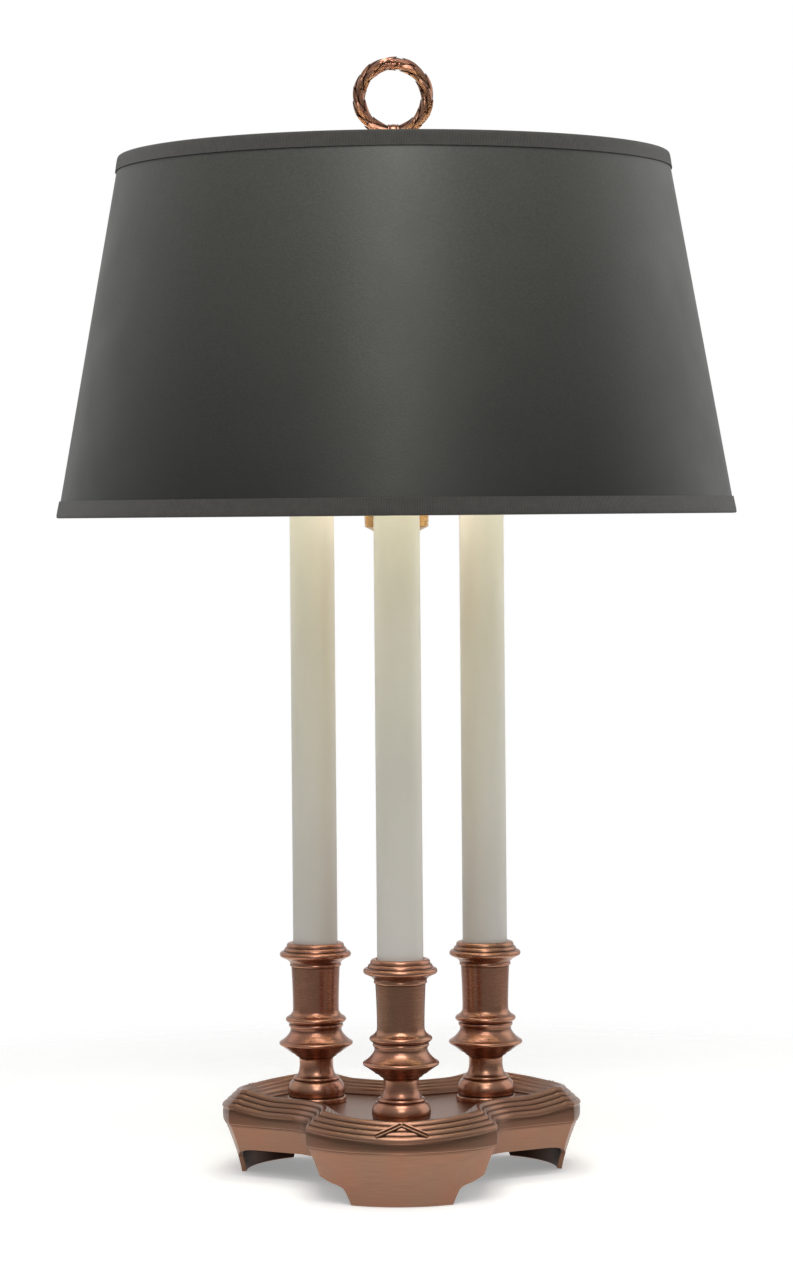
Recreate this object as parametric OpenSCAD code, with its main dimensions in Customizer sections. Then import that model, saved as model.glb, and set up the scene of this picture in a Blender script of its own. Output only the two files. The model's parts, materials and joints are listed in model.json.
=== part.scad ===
// Bouillotte lamp: three candlesticks on a three-lobed tray, a central stem
// that carries a three-light cluster, and a drum shade held by a wreath finial.
// Millimetres, +Z up, the lamp's axis on Z and the table at Z = 0.

/* [Base casting] */
// Radius of the round end of each lobe, at its widest bead
lobe_radius = 71.5; // [66:0.5:78]
// Distance from the lamp's axis to the centre of a lobe's round end
lobe_reach = 42.5; // [38:0.5:46]
// Half the width of a lobe between its two straight flanks
lobe_half = 55.5; // [52:0.5:59]
// Radius of the hollow corner between two lobes
corner_radius = 24; // [18:0.5:28]
// Height of the widest bead under the rim's reeds
bead_z = 38; // [34:0.5:42]
// Rise from the widest bead to the top of the rim
rim_rise = 11; // [9:0.5:13]
// Width of the reeded rim, seen from above
rim_width = 11; // [9:0.5:13]
// Number of reeds on the rim
reeds = 4; // [3:1:5]
// Depth of the tray under the top of the rim
tray_depth = 8; // [6:0.5:10]
// Thickness of the tray's floor
floor_thick = 5; // [4:0.5:6]
// Thickness of the skirt
skirt_wall = 3; // [2.5:0.1:4]
// How far the foot of the skirt lies inside the widest bead
skirt_flare = 11.5; // [9:0.5:13]
// Height of the arches between the feet
arch_z = 17.2; // [14:0.2:20]
// Half the width of a foot on the table
foot_half = 30; // [25:0.5:34]

/* [Candlesticks] */
// Distance from the lamp's axis to each candle
candle_reach = 59.4; // [57:0.2:62]
// Largest radius of the candlestick's foot
foot_radius = 18; // [16:0.2:20]
// Height of the candlestick's foot
foot_height = 25; // [22:0.5:28]
// Largest radius of the knop
knop_radius = 22.5; // [20:0.2:24]
// Height of the knop
knop_height = 29; // [26:0.5:32]
// Largest radius of the cup's flange
cup_radius = 21.6; // [20:0.2:24]
// Height of the cup
cup_height = 43; // [38:0.5:48]
// Depth of the seat that the candle tube stands in
cup_seat = 11; // [8:0.5:13]
// Outer radius of the candle tube
candle_radius = 13.5; // [12.5:0.1:14.5]
// Wall of the candle tube
candle_wall = 1.2; // [1:0.1:2]
// How far the candle tubes reach up inside the shade
candle_into_shade = 34; // [20:1:40]
// Thickness of the cap on a candle tube
cap_thick = 4; // [3:0.2:5]

/* [Stem and weight] */
// Outer radius of threaded lamp pipe
pipe_radius = 4.85; // [4.5:0.05:5.2]
// Bore radius of threaded lamp pipe
pipe_bore = 3.5; // [3:0.1:3.8]
// Outer radius of the stem's sleeve
sleeve_radius = 7; // [6.4:0.1:8]
// Radius of the seating ring under the stem
collar_radius = 12; // [10:0.5:14]
// Height of the seating ring under the stem
collar_height = 6; // [4:0.5:8]
// Radius of the iron weight under the tray
weight_radius = 47; // [42:0.5:48]
// Thickness of the iron weight
weight_thick = 6; // [4:0.5:7]
// Width of the hexagon nuts across their flats
nut_flats = 14; // [13:0.5:16]
// Height of the hexagon nuts
nut_height = 4.5; // [3.5:0.5:5]

/* [Cluster] */
// Outer radius of the cluster body
cluster_radius = 19.05; // [17:0.05:21]
// Height of the cluster body
cluster_height = 27; // [24:0.5:30]
// How far the cluster body shows under the shade
cluster_below = 10.8; // [6:0.2:14]
// Wall of the cluster body
cluster_wall = 1.5; // [1.2:0.1:2]
// Height of the cluster's cover
cover_height = 6; // [4:0.5:8]

/* [Sockets and bulbs] */
// Angle of the sockets above level
socket_rise = 45; // [40:1:50]
// Distance along the socket's axis from the stem to the socket's cap
socket_reach = 38; // [36:0.5:44]
// Outer radius of a socket's shell
shell_radius = 16.2; // [15.9:0.1:17]
// Length of a socket's shell
shell_length = 42; // [40:0.5:48]
// Length of a socket's cap
socket_cap_length = 15; // [13:0.5:18]
// Radius of the switch knob
knob_radius = 5.5; // [4.5:0.1:7]
// Length of the switch knob
knob_length = 13; // [10:0.5:16]
// Radius of the switch shaft
shaft_radius = 2.2; // [1.8:0.1:2.6]
// Radius of the bulb's screw base
bulb_base_radius = 13.1; // [12.9:0.05:13.2]
// Length of the bulb's screw base
bulb_base_length = 25; // [23:0.5:27]
// Radius of the bulb
bulb_radius = 30; // [25:0.5:32]
// Whole length of the bulb, base and glass
bulb_length = 110; // [100:1:114]
// Thickness of the bulb's glass
glass_thick = 1; // [0.8:0.1:1.5]

/* [Shade] */
// Height of the shade's bottom edge above the table
shade_bottom_z = 396; // [390:1:410]
// Height of the shade from edge to edge
shade_height = 215; // [205:1:230]
// Outer radius of the shade at its bottom edge
shade_bottom_radius = 203.2; // [196:0.2:210]
// Outer radius of the shade at its top edge
shade_top_radius = 165; // [160:0.2:172]
// Thickness of the shade's laminate
shade_wall = 1.2; // [1:0.1:1.5]
// Height of the tape on the top edge
top_tape = 9; // [8:0.5:12]
// Height of the tape on the bottom edge
bottom_tape = 10; // [8:0.5:12]
// Thickness of the tape
tape_thick = 0.8; // [0.6:0.1:1]
// Radius of the shade's wires
wire_radius = 1.5; // [1.2:0.1:1.8]
// Depth of the spider's ring below the shade's top edge
spider_drop = 11; // [8:0.5:14]
// Outer radius of the spider's ring
spider_ring = 13.5; // [12:0.5:16]
// Thickness of the spider's ring
spider_thick = 1.6; // [1.2:0.1:2]

/* [Finial] */
// Height from the spider's ring to the centre of the wreath
finial_rise = 44.9; // [40:0.1:50]
// Radius from the centre of the wreath to the middle of its section
wreath_radius = 20.4; // [19:0.1:22]
// Radius of the wreath's section
wreath_section = 4.4; // [3.6:0.1:4.8]
// Radius of the finial's foot
finial_foot = 7; // [6:0.2:9]
// Radius of the threaded stud under the finial
stud_radius = 3.15; // [2.8:0.05:3.4]

/* [Cord inlet] */
// Bore radius of the cord bushing
cord_bore = 3.2; // [2.8:0.1:3.6]
// Radius of the bushing's sleeve
bushing_radius = 4.8; // [4.6:0.1:5.2]
// Radius of the bushing's flange
bushing_flange = 6.6; // [6:0.1:7]
// Height of the cord inlet above the table
cord_z = 26; // [25.5:0.1:26.5]

/* [Hidden] */
$fn = 96;
lights = 3;
// Gap between fixed pieces that slide into each other
slip = 0.1;
// Gap between a turning piece and its bearing
running = 0.06;
// Gap round a pipe in a drilled hole
drill_gap = 0.25;
// Gap between a fixed piece and one that turns past it
pass_gap = 0.3;
// Extra length that a cutting shape has past a face
over = 1;

// Directions of the candles and of the gaps between them, counted from the front one
function candle_angle(i) = -90 + i * 360 / lights;
function gap_angle(i) = 90 + i * 360 / lights;

rim_z = bead_z + rim_rise;
tray_z = rim_z - tray_depth;
ceiling_z = tray_z - floor_thick;
// Distance from the lamp's axis to the centre of a hollow corner, whose circle touches
// the flanks of two lobes, and how far out along a lobe it touches
corner_reach = (lobe_half + corner_radius) / sin(180 / lights);
touch_reach = corner_reach * cos(180 / lights);
// The corner's cutter bites a hair into the flanks, so that the faces cross
corner_bite = 0.2;
// How far a lobe runs into the core, and the core past the touching points
lobe_root = 12;
core_past = 1.5;

knop_z = tray_z + foot_height;
cup_z = knop_z + knop_height;
cup_top_z = cup_z + cup_height;
candle_z = cup_top_z - cup_seat;
candle_top_z = shade_bottom_z + candle_into_shade;
cap_top_z = candle_top_z + cap_thick;

weight_z = ceiling_z - weight_thick;
washer_thick = 2;
washer_radius = 14;
stem_nut_z = weight_z - washer_thick - nut_height;
thread_end = 3;
cluster_z = shade_bottom_z - cluster_below;
cover_z = cluster_z + cluster_height;

shade_top_z = shade_bottom_z + shade_height;
shade_lean = (shade_bottom_radius - shade_top_radius) / shade_height;
function shade_r(z) = shade_bottom_radius - shade_lean * (z - shade_bottom_z);
panel_in = tape_thick + slip;
wire_in = panel_in + shade_wall + slip + wire_radius * sqrt(1 + shade_lean * shade_lean);
tape_in = wire_in + wire_radius * sqrt(1 + shade_lean * shade_lean) + slip;
wire_off = tape_thick + slip + wire_radius;
top_wire_z = shade_top_z - wire_off;
bottom_wire_z = shade_bottom_z + wire_off;

spider_z = shade_top_z - spider_drop;
spider_top_z = spider_z + spider_thick;
arm_radius = 1.5;
seat_radius = 12;
seat_thick = 4;
neck_radius = 4.9;
neck_height = spider_thick - pass_gap;
seat_z = spider_z - seat_thick;
stud_length = 10;
pipe_top_z = seat_z + seat_thick / 2;
wreath_z = spider_top_z + finial_rise;
wreath_foot_z = wreath_z - wreath_radius - wreath_section;
tenon_radius = 2;
tenon_length = 6;

// The sockets' axes cross the cluster's wall at half its height
socket_z = cluster_z + cluster_height * 0.6 - cluster_radius * tan(socket_rise);
shell_wall = 0.6;
shell_t = socket_reach + socket_cap_length - 7;
shell_end = shell_t + shell_length;
liner_wall = 0.7;
liner_radius = shell_radius - shell_wall - slip;
core_t = shell_t + over;
core_length = 16;
core_radius = liner_radius - liner_wall - slip;
screw_wall = 0.6;
screw_t = core_t + core_length;
screw_length = 23;
screw_bore = bulb_base_radius + running;
liner_length = screw_t + screw_length - core_t;
// A nipple reaches this far inside the cluster's wall, and this far into the socket's cap
nipple_inside = 3;
nipple_into_cap = 7;
nipple_t = cluster_radius / cos(socket_rise) - nipple_inside;
nipple_end = socket_reach + nipple_into_cap;
cap_wall = 0.9;
cap_radius = shell_radius + slip + cap_wall;
knob_t = socket_reach + socket_cap_length + 4.2;
shaft_depth = 8;
knob_gap = 2.5;
bulb_t = screw_t + over;

// The bushing's seat lies this far behind the widest bead of the hollow corner
cord_seat_depth = 7.3;
cord_boss_length = 10.5;
cord_boss_radius = bushing_flange + 1.9;
cord_flange_y = corner_reach - corner_radius - cord_seat_depth;
cord_boss_y = cord_flange_y - cord_boss_length;
flange_thick = 2;

copper = "#93694f";
brass = "#c08a4a";
steel = "#8d8f90";
ivory = "#d8d2c0";
charcoal = "#3a3d39";

// ---------- Helpers ----------

// A ring with a round hole, from z0 to z1
module ring(r_out, r_in, z0, z1) {
    difference() {
        translate([0, 0, z0]) cylinder(r = r_out, h = z1 - z0);
        translate([0, 0, z0 - over]) cylinder(r = r_in, h = z1 - z0 + 2 * over);
    }
}

// A turned piece: shares of its largest radius and height, with a hole down its middle
module turned(shape, r, h, z, hole) {
    difference() {
        translate([0, 0, z]) rotate_extrude()
            polygon(concat([[0, 0]], [for (p = shape) [p[0] * r, p[1] * h]], [[0, h]]));
        translate([0, 0, z - over]) cylinder(r = hole, h = h + 2 * over);
    }
}

// A straight round rod between two points
module rod(from, to, r) {
    d = to - from;
    translate(from) rotate([0, atan2(norm([d[0], d[1]]), d[2]), atan2(d[1], d[0])])
        cylinder(r = r, h = norm(d));
}

// Stands its children at candle i
module at_candle(i) {
    rotate(candle_angle(i)) translate([candle_reach, 0, 0]) children();
}

// Turns its children's Z onto the axis of socket i, with X out of its underside
module at_socket(i) {
    rotate(gap_angle(i)) translate([0, 0, socket_z]) rotate([0, 90 - socket_rise, 0]) children();
}

module hex_nut(z, hole) {
    difference() {
        translate([0, 0, z]) cylinder(r = nut_flats / 2 / cos(30), h = nut_height, $fn = 6);
        translate([0, 0, z - over]) cylinder(r = hole, h = nut_height + 2 * over);
    }
}

// ---------- Base ----------

// Corners of the outline, each as its distance inside the widest bead and its height
skirt_steps = 6;
skirt_points = [for (i = [0:skirt_steps])
    let (s = i / skirt_steps) [skirt_flare * (1 - pow(s, 1.7)), s * (bead_z - 0.4)]];

// Each reed is a round of three flats that bulges out of the slope of the rim, and the
// next reed starts where it ends
reed_arc = [-75, -25, 25];
reed_pitch = norm([rim_width, rim_rise - 1]) / reeds;
reed_lean = atan2(rim_rise - 1, rim_width);
reed_round = reed_pitch / 2 / sin(75);
function reed_point(i, a) =
    let (mid = (i + 0.5) * reed_pitch, along = mid + reed_round * sin(a),
         out = reed_round * (cos(a) - cos(75)))
    [along * cos(reed_lean) - out * sin(reed_lean),
     bead_z + 1 + along * sin(reed_lean) + out * cos(reed_lean)];
reed_points = [for (i = [0:reeds - 1]) for (a = reed_arc) reed_point(i, a)];
rim_out = -min([for (p = reed_points) p[0]]);
tray_in = rim_width + rim_out;
// Flat on top of the rim, inside its reeds
rim_land = 0.6;
function outside() = concat(
    [for (p = skirt_points) [p[0] + rim_out, p[1]]],
    [for (p = reed_points) if (p[1] < rim_z) [p[0] + rim_out, p[1]]],
    [[tray_in, rim_z]]);

// A solid on the base's three-lobed plan; profile lists [inset, height], lowest first.
// Three lobes run into a triangular core, and round cutters hollow the corners between them.
module trefoil(profile) {
    low = profile[0][1];
    high = profile[len(profile) - 1][1];
    last = profile[len(profile) - 1][0];
    cut = corner_radius + corner_bite;
    difference() {
        union() {
            translate([0, 0, low]) linear_extrude(high - low) polygon([for (i = [0:lights - 1])
                (touch_reach + core_past) / cos(180 / lights) * [cos(gap_angle(i)), sin(gap_angle(i))]]);
            for (i = [0:lights - 1]) rotate(candle_angle(i)) intersection() {
                translate([lobe_reach, 0, 0]) rotate_extrude() polygon(concat(
                    [[0, low]], [for (p = profile) [lobe_radius - p[0], p[1]]], [[0, high]]));
                translate([touch_reach - lobe_root, 0, 0]) rotate([90, 0, 90])
                    linear_extrude(lobe_radius + lobe_root) polygon(concat(
                        [for (p = profile) [lobe_half - p[0], p[1]]],
                        [for (k = [len(profile) - 1:-1:0]) [profile[k][0] - lobe_half, profile[k][1]]]));
            }
        }
        for (i = [0:lights - 1]) rotate(gap_angle(i)) translate([corner_reach, 0, 0])
            rotate_extrude() polygon(concat(
                [[0, low - over], [cut + profile[0][0], low - over]],
                [for (p = profile) [cut + p[0], p[1]]],
                [[cut + last, high + over], [0, high + over]]));
    }
}

// The part of the skirt that comes down to the table, as half widths and heights
foot_outline = [[foot_half * 0.99, -over], [foot_half * 1.1, arch_z * 0.54],
    [foot_half * 1.19, arch_z * 0.64], [foot_half * 1.3, arch_z * 0.7],
    [foot_half * 1.43, arch_z * 0.83], [foot_half * 1.62, arch_z * 1.1]];

module between_feet() {
    difference() {
        translate([0, 0, -over]) cylinder(r = lobe_reach + lobe_radius, h = arch_z + over);
        for (i = [0:lights - 1]) rotate(candle_angle(i))
            translate([candle_reach, 0, 0]) rotate([90, 0, 90])
                linear_extrude(lobe_radius) polygon(concat(foot_outline,
                    [for (k = [len(foot_outline) - 1:-1:0]) [-foot_outline[k][0], foot_outline[k][1]]]));
    }
}

module floor_hole() {
    translate([0, 0, ceiling_z - over]) cylinder(r = pipe_radius + drill_gap, h = floor_thick + 2 * over);
}

module base_casting() {
    wall_in = [for (p = skirt_points) if (p[1] < ceiling_z) [p[0] + rim_out + skirt_wall, p[1]]];
    last_in = wall_in[len(wall_in) - 1];
    cavity = concat([[wall_in[0][0], -over]], wall_in, [[last_in[0], ceiling_z]]);
    color(copper) difference() {
        union() {
            difference() {
                trefoil(outside());
                trefoil(cavity);
                between_feet();
            }
            translate([0, cord_boss_y, cord_z]) rotate([-90, 0, 0])
                cylinder(r = cord_boss_radius, h = cord_flange_y - cord_boss_y);
        }
        trefoil([[tray_in + rim_land, tray_z], [tray_in + rim_land, rim_z + over]]);
        floor_hole();
        for (i = [0:lights - 1]) at_candle(i) floor_hole();
        translate([0, cord_boss_y - over, cord_z]) rotate([-90, 0, 0])
            cylinder(r = bushing_radius + slip, h = corner_reach - cord_boss_y);
        translate([0, cord_flange_y, cord_z]) rotate([-90, 0, 0])
            cylinder(r = bushing_flange + slip, h = corner_reach - cord_flange_y);
    }
}

module cord_bushing() {
    color("#1d1c1b") translate([0, cord_flange_y, cord_z]) rotate([-90, 0, 0]) difference() {
        union() {
            translate([0, 0, cord_boss_y - cord_flange_y])
                cylinder(r = bushing_radius, h = cord_flange_y - cord_boss_y);
            cylinder(r = bushing_flange, h = flange_thick);
        }
        translate([0, 0, cord_boss_y - cord_flange_y - over])
            cylinder(r = cord_bore, h = cord_flange_y - cord_boss_y + flange_thick + 2 * over);
    }
}

module weight() {
    color("#4b4a48") ring(weight_radius, pipe_radius + drill_gap, weight_z, ceiling_z);
}

module stem_washer() {
    color(steel) ring(washer_radius, pipe_radius + drill_gap, weight_z - washer_thick, weight_z);
}

module stem_nut() {
    color(steel) hex_nut(stem_nut_z, pipe_radius + slip);
}

// ---------- Stem ----------

module stem_collar() {
    shape = [[1, 0], [1, 0.3], [0.93, 0.45], [0.93, 0.55], [0.8, 0.7], [0.75, 1]];
    color(brass) turned(shape, collar_radius, collar_height, tray_z, pipe_radius + drill_gap);
}

module stem_pipe() {
    color(steel) ring(pipe_radius, pipe_bore, stem_nut_z - thread_end, pipe_top_z);
}

module stem_sleeve() {
    color(brass) ring(sleeve_radius, pipe_radius + drill_gap, tray_z + collar_height, cluster_z);
}

module upper_sleeve() {
    color(brass) ring(sleeve_radius, pipe_radius + drill_gap, cover_z + cover_height, seat_z);
}

// ---------- Candlesticks ----------

// Shares of the largest radius and of the height, from the bottom up
foot_shape = [[1, 0], [1, 0.12], [0.93, 0.14], [0.96, 0.26], [0.967, 0.36], [0.9, 0.45], [0.84, 0.51],
    [0.71, 0.6], [0.71, 0.66], [0.66, 0.76], [0.62, 0.85], [0.578, 0.91], [0.578, 1]];
knop_shape = [[0.462, 0], [0.484, 0.045], [0.555, 0.107], [0.662, 0.165], [0.858, 0.217], [0.96, 0.28],
    [1, 0.338], [1, 0.376], [0.973, 0.4], [0.884, 0.459], [0.79, 0.52], [0.715, 0.58], [0.689, 0.64],
    [0.742, 0.7], [0.778, 0.762], [0.818, 0.82], [0.818, 0.883], [0.715, 0.94], [0.65, 1]];
cup_shape = [[0.662, 0], [0.69, 0.658], [0.745, 0.695], [0.81, 0.737], [0.972, 0.777], [1, 0.8], [1, 0.83],
    [0.963, 0.858], [0.866, 0.9], [0.824, 0.94], [0.769, 0.965], [0.755, 1]];

module candle_foot(i) {
    color(copper) at_candle(i) turned(foot_shape, foot_radius, foot_height, tray_z, pipe_radius + drill_gap);
}

module candle_knop(i) {
    color(copper) at_candle(i) turned(knop_shape, knop_radius, knop_height, knop_z, pipe_radius + drill_gap);
}

module candle_cup(i) {
    color(copper) at_candle(i) difference() {
        turned(cup_shape, cup_radius, cup_height, cup_z, pipe_radius + drill_gap);
        translate([0, 0, candle_z]) cylinder(r = candle_radius + slip, h = cup_seat + over);
    }
}

module candle_tube(i) {
    color(ivory) at_candle(i) ring(candle_radius, candle_radius - candle_wall, candle_z, candle_top_z);
}

// A flat cap with a plug that centres the top of the tube
module candle_cap(i) {
    plug = 5;
    color(brass) at_candle(i) difference() {
        union() {
            translate([0, 0, candle_top_z]) cylinder(r = candle_radius, h = cap_thick * 0.5);
            translate([0, 0, candle_top_z + cap_thick * 0.5])
                cylinder(r1 = candle_radius, r2 = candle_radius * 0.7, h = cap_thick * 0.5);
            translate([0, 0, candle_top_z - plug]) cylinder(r = candle_radius - candle_wall - slip, h = plug);
        }
        translate([0, 0, candle_top_z - plug - over])
            cylinder(r = pipe_radius + drill_gap, h = plug + cap_thick + 2 * over);
    }
}

module candle_rods() {
    color(steel) for (i = [0:lights - 1]) at_candle(i)
        ring(pipe_radius, pipe_bore, ceiling_z - nut_height - thread_end, cap_top_z + nut_height + over);
}

module candle_nuts() {
    color(steel) for (i = [0:lights - 1]) at_candle(i) {
        hex_nut(ceiling_z - nut_height, pipe_radius + slip);
        hex_nut(cap_top_z, pipe_radius + slip);
    }
}

// ---------- Cluster and sockets ----------

module cluster_body() {
    shape = [[0.64, 0], [0.95, 0.1], [1, 0.4], [1, 1]];
    color(brass) difference() {
        turned(shape, cluster_radius, cluster_height, cluster_z, pipe_radius + drill_gap);
        translate([0, 0, cluster_z + 2 * cluster_wall])
            cylinder(r = cluster_radius - cluster_wall - 1, h = cluster_height);
        for (i = [0:lights - 1]) at_socket(i) cylinder(r = pipe_radius + slip, h = socket_reach);
    }
}

module cluster_cover() {
    shape = [[1, 0], [1, 0.3], [0.92, 0.5], [0.7, 0.75], [0.45, 1]];
    color(brass) turned(shape, cluster_radius, cover_height, cover_z, pipe_radius + drill_gap);
}

module socket_nipples() {
    color(brass) for (i = [0:lights - 1]) at_socket(i) ring(pipe_radius, pipe_bore, nipple_t, nipple_end);
}

module socket_cap(i) {
    shape = [[0.4, 0], [0.62, 0.1], [0.88, 0.22], [0.97, 0.32], [1, 0.44], [1, 1]];
    color(brass) at_socket(i) difference() {
        turned(shape, cap_radius, socket_cap_length, socket_reach, pipe_radius + slip);
        translate([0, 0, shell_t]) cylinder(r = shell_radius + slip, h = socket_cap_length);
        translate([0, 0, nipple_end]) cylinder(r = core_radius * 0.7, h = socket_cap_length);
    }
}

module socket_shell(i) {
    color(brass) at_socket(i) difference() {
        union() {
            translate([0, 0, shell_t]) cylinder(r = shell_radius, h = shell_length);
            translate([0, 0, shell_end - 2]) cylinder(r = cap_radius, h = 2);
        }
        translate([0, 0, shell_t - over])
            cylinder(r = shell_radius - shell_wall, h = shell_length + 2 * over);
        translate([0, 0, knob_t]) rotate([0, 90, 0]) cylinder(r = shaft_radius + over, h = cap_radius + over);
    }
}

module socket_liners() {
    color("#c9b48c") for (i = [0:lights - 1]) at_socket(i) difference() {
        ring(liner_radius, liner_radius - liner_wall, core_t, core_t + liner_length);
        translate([0, 0, knob_t]) rotate([0, 90, 0]) cylinder(r = shaft_radius + over, h = cap_radius);
    }
}

module socket_cores() {
    color("#2b2724") for (i = [0:lights - 1]) at_socket(i) difference() {
        translate([0, 0, core_t]) cylinder(r = core_radius, h = core_length);
        translate([core_radius - shaft_depth, 0, knob_t]) rotate([0, 90, 0])
            cylinder(r = shaft_radius + running, h = shaft_depth + over);
    }
}

module screw_shells() {
    color("#b9bab8") for (i = [0:lights - 1]) at_socket(i)
        ring(screw_bore + screw_wall, screw_bore, screw_t, screw_t + screw_length);
}

// The shaft runs from the core out of the shell's underside to a fluted knob
module switch_knob(i) {
    flutes = 12;
    shaft_start = core_radius - shaft_depth + over;
    color("#241f1b") at_socket(i) translate([0, 0, knob_t]) rotate([0, 90, 0]) {
        translate([0, 0, shaft_start]) cylinder(r = shaft_radius, h = cap_radius + knob_gap - shaft_start);
        difference() {
            translate([0, 0, cap_radius + knob_gap]) cylinder(r = knob_radius, h = knob_length);
            for (k = [0:flutes - 1]) rotate(k * 360 / flutes)
                translate([knob_radius + 0.3, 0, cap_radius + knob_gap + 2])
                    cylinder(r = 0.8, h = knob_length);
        }
    }
}

module bulb_base(i) {
    shape = [[0.35, 0], [0.38, 0.06], [0.8, 0.16], [1, 0.2], [1, 1]];
    cup = 0.3;
    color("#b9bab8") at_socket(i) translate([0, 0, bulb_t]) difference() {
        rotate_extrude() polygon(concat([[0, 0]],
            [for (p = shape) [p[0] * bulb_base_radius, p[1] * bulb_base_length]], [[0, bulb_base_length]]));
        translate([0, 0, cup * bulb_base_length])
            cylinder(r = bulb_base_radius - screw_wall - glass_thick, h = bulb_base_length);
    }
}

// The outline of a bulb, shrunk by an inset: a neck, a cone and most of a ball
function bulb_outline(inset) =
    let (ball_z = bulb_length - bulb_radius, r = bulb_radius - inset, neck = bulb_base_radius - 0.4 - inset)
    concat([[neck, bulb_base_length], [neck + 0.4, bulb_base_length + 7]],
           [for (a = [-50:10:80]) [r * cos(a), ball_z + r * sin(a)]]);

module bulb_glass(i) {
    ball_top = bulb_length;
    color("#f1efe8") at_socket(i) translate([0, 0, bulb_t]) rotate_extrude() polygon(concat(
        bulb_outline(0), [[0, ball_top], [0, ball_top - glass_thick]],
        [for (k = [len(bulb_outline(0)) - 1:-1:0]) bulb_outline(glass_thick)[k]]));
}

// ---------- Shade ----------

module shade_seat() {
    color(brass) difference() {
        union() {
            translate([0, 0, seat_z]) cylinder(r = seat_radius, h = seat_thick);
            translate([0, 0, spider_z]) cylinder(r = neck_radius, h = neck_height);
            translate([0, 0, spider_z + neck_height]) cylinder(r = stud_radius, h = stud_length);
        }
        translate([0, 0, seat_z - over])
            cylinder(r = pipe_radius + slip, h = pipe_top_z - seat_z + over);
    }
}

module spider_hub() {
    color(brass) ring(spider_ring, neck_radius + running, spider_z, spider_top_z);
}

// Three arms from the ring up to the top wire
arm_start = [spider_ring + slip, 0, spider_z + spider_thick / 2];
arm_end = [shade_r(top_wire_z) - wire_in - wire_radius - slip, 0, top_wire_z];

module spider_arms() {
    color(brass) for (i = [0:lights - 1]) rotate(gap_angle(i)) rod(arm_start, arm_end, arm_radius);
}

// A conical band whose faces lie two insets inside the shade's outer face
module band(inset_out, inset_in, z0, z1) {
    rotate_extrude() polygon([
        [shade_r(z0) - inset_out, z0], [shade_r(z1) - inset_out, z1],
        [shade_r(z1) - inset_in, z1], [shade_r(z0) - inset_in, z0]]);
}

module shade_panel() {
    color(charcoal) band(panel_in, panel_in + shade_wall,
        shade_bottom_z + tape_thick, shade_top_z - tape_thick);
}

module wire(z) {
    color(steel) rotate_extrude() translate([shade_r(z) - wire_in, z]) circle(r = wire_radius, $fn = 24);
}
module top_wire() { wire(top_wire_z); }
module bottom_wire() { wire(bottom_wire_z); }

// Tape folded over an edge: outer leg, web and inner leg in one
module tape(z_edge, z_web, z_leg) {
    rotate_extrude() polygon([
        [shade_r(z_edge), z_edge], [shade_r(z_leg), z_leg],
        [shade_r(z_leg) - tape_thick, z_leg], [shade_r(z_web) - tape_thick, z_web],
        [shade_r(z_web) - tape_in, z_web], [shade_r(z_leg) - tape_in, z_leg],
        [shade_r(z_leg) - tape_in - tape_thick, z_leg], [shade_r(z_edge) - tape_in - tape_thick, z_edge]]);
}

module bottom_tape_band() {
    color(charcoal) tape(shade_bottom_z, shade_bottom_z + tape_thick, shade_bottom_z + bottom_tape);
}

module top_tape_band() {
    color(charcoal) difference() {
        tape(shade_top_z, shade_top_z - tape_thick, shade_top_z - top_tape);
        for (i = [0:lights - 1]) rotate(gap_angle(i)) rod(arm_start, arm_end, arm_radius + slip);
    }
}

// ---------- Finial ----------

module finial_stem() {
    height = wreath_foot_z - spider_top_z;
    shape = [[1, 0], [1, 0.14], [0.78, 0.22], [0.7, 0.32], [0.7, 0.55], [0.6, 0.7],
        [0.78, 0.84], [0.78, 0.92], [0.55, 1]];
    color(copper) difference() {
        translate([0, 0, spider_top_z]) rotate_extrude()
            polygon(concat([[0, 0]], [for (p = shape) [p[0] * finial_foot, p[1] * height]], [[0, height]]));
        translate([0, 0, spider_top_z - over]) cylinder(r = stud_radius + running, h = stud_length + over);
        translate([0, 0, wreath_foot_z - tenon_length])
            cylinder(r = tenon_radius + slip, h = tenon_length + over);
    }
}

// A ring facing the front, with a tie at its foot and a tenon in the stem
module finial_wreath() {
    tie = 3.4;
    color(copper) {
        translate([0, 0, wreath_z]) rotate([90, 0, 0]) rotate_extrude()
            translate([wreath_radius, 0]) circle(r = wreath_section, $fn = 32);
        translate([0, 0, wreath_foot_z - tenon_length + slip])
            cylinder(r = tenon_radius, h = tenon_length + wreath_section);
        translate([-tie, 0, wreath_z - wreath_radius]) rotate([0, 90, 0])
            cylinder(r = wreath_section, h = 2 * tie);
    }
}

// ---------- Nodes ----------

base_casting();
weight();
stem_washer();
stem_nut();
cord_bushing();
stem_collar();
stem_pipe();
stem_sleeve();
upper_sleeve();
for (i = [0:lights - 1]) {
    candle_foot(i);
    candle_knop(i);
    candle_cup(i);
    candle_tube(i);
    candle_cap(i);
    socket_cap(i);
    socket_shell(i);
    switch_knob(i);
    bulb_base(i);
    bulb_glass(i);
}
candle_rods();
candle_nuts();
cluster_body();
cluster_cover();
socket_nipples();
socket_liners();
socket_cores();
screw_shells();
shade_seat();
spider_hub();
spider_arms();
shade_panel();
top_wire();
bottom_wire();
top_tape_band();
bottom_tape_band();
finial_stem();
finial_wreath();
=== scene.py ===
# %% [markdown]
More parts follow.
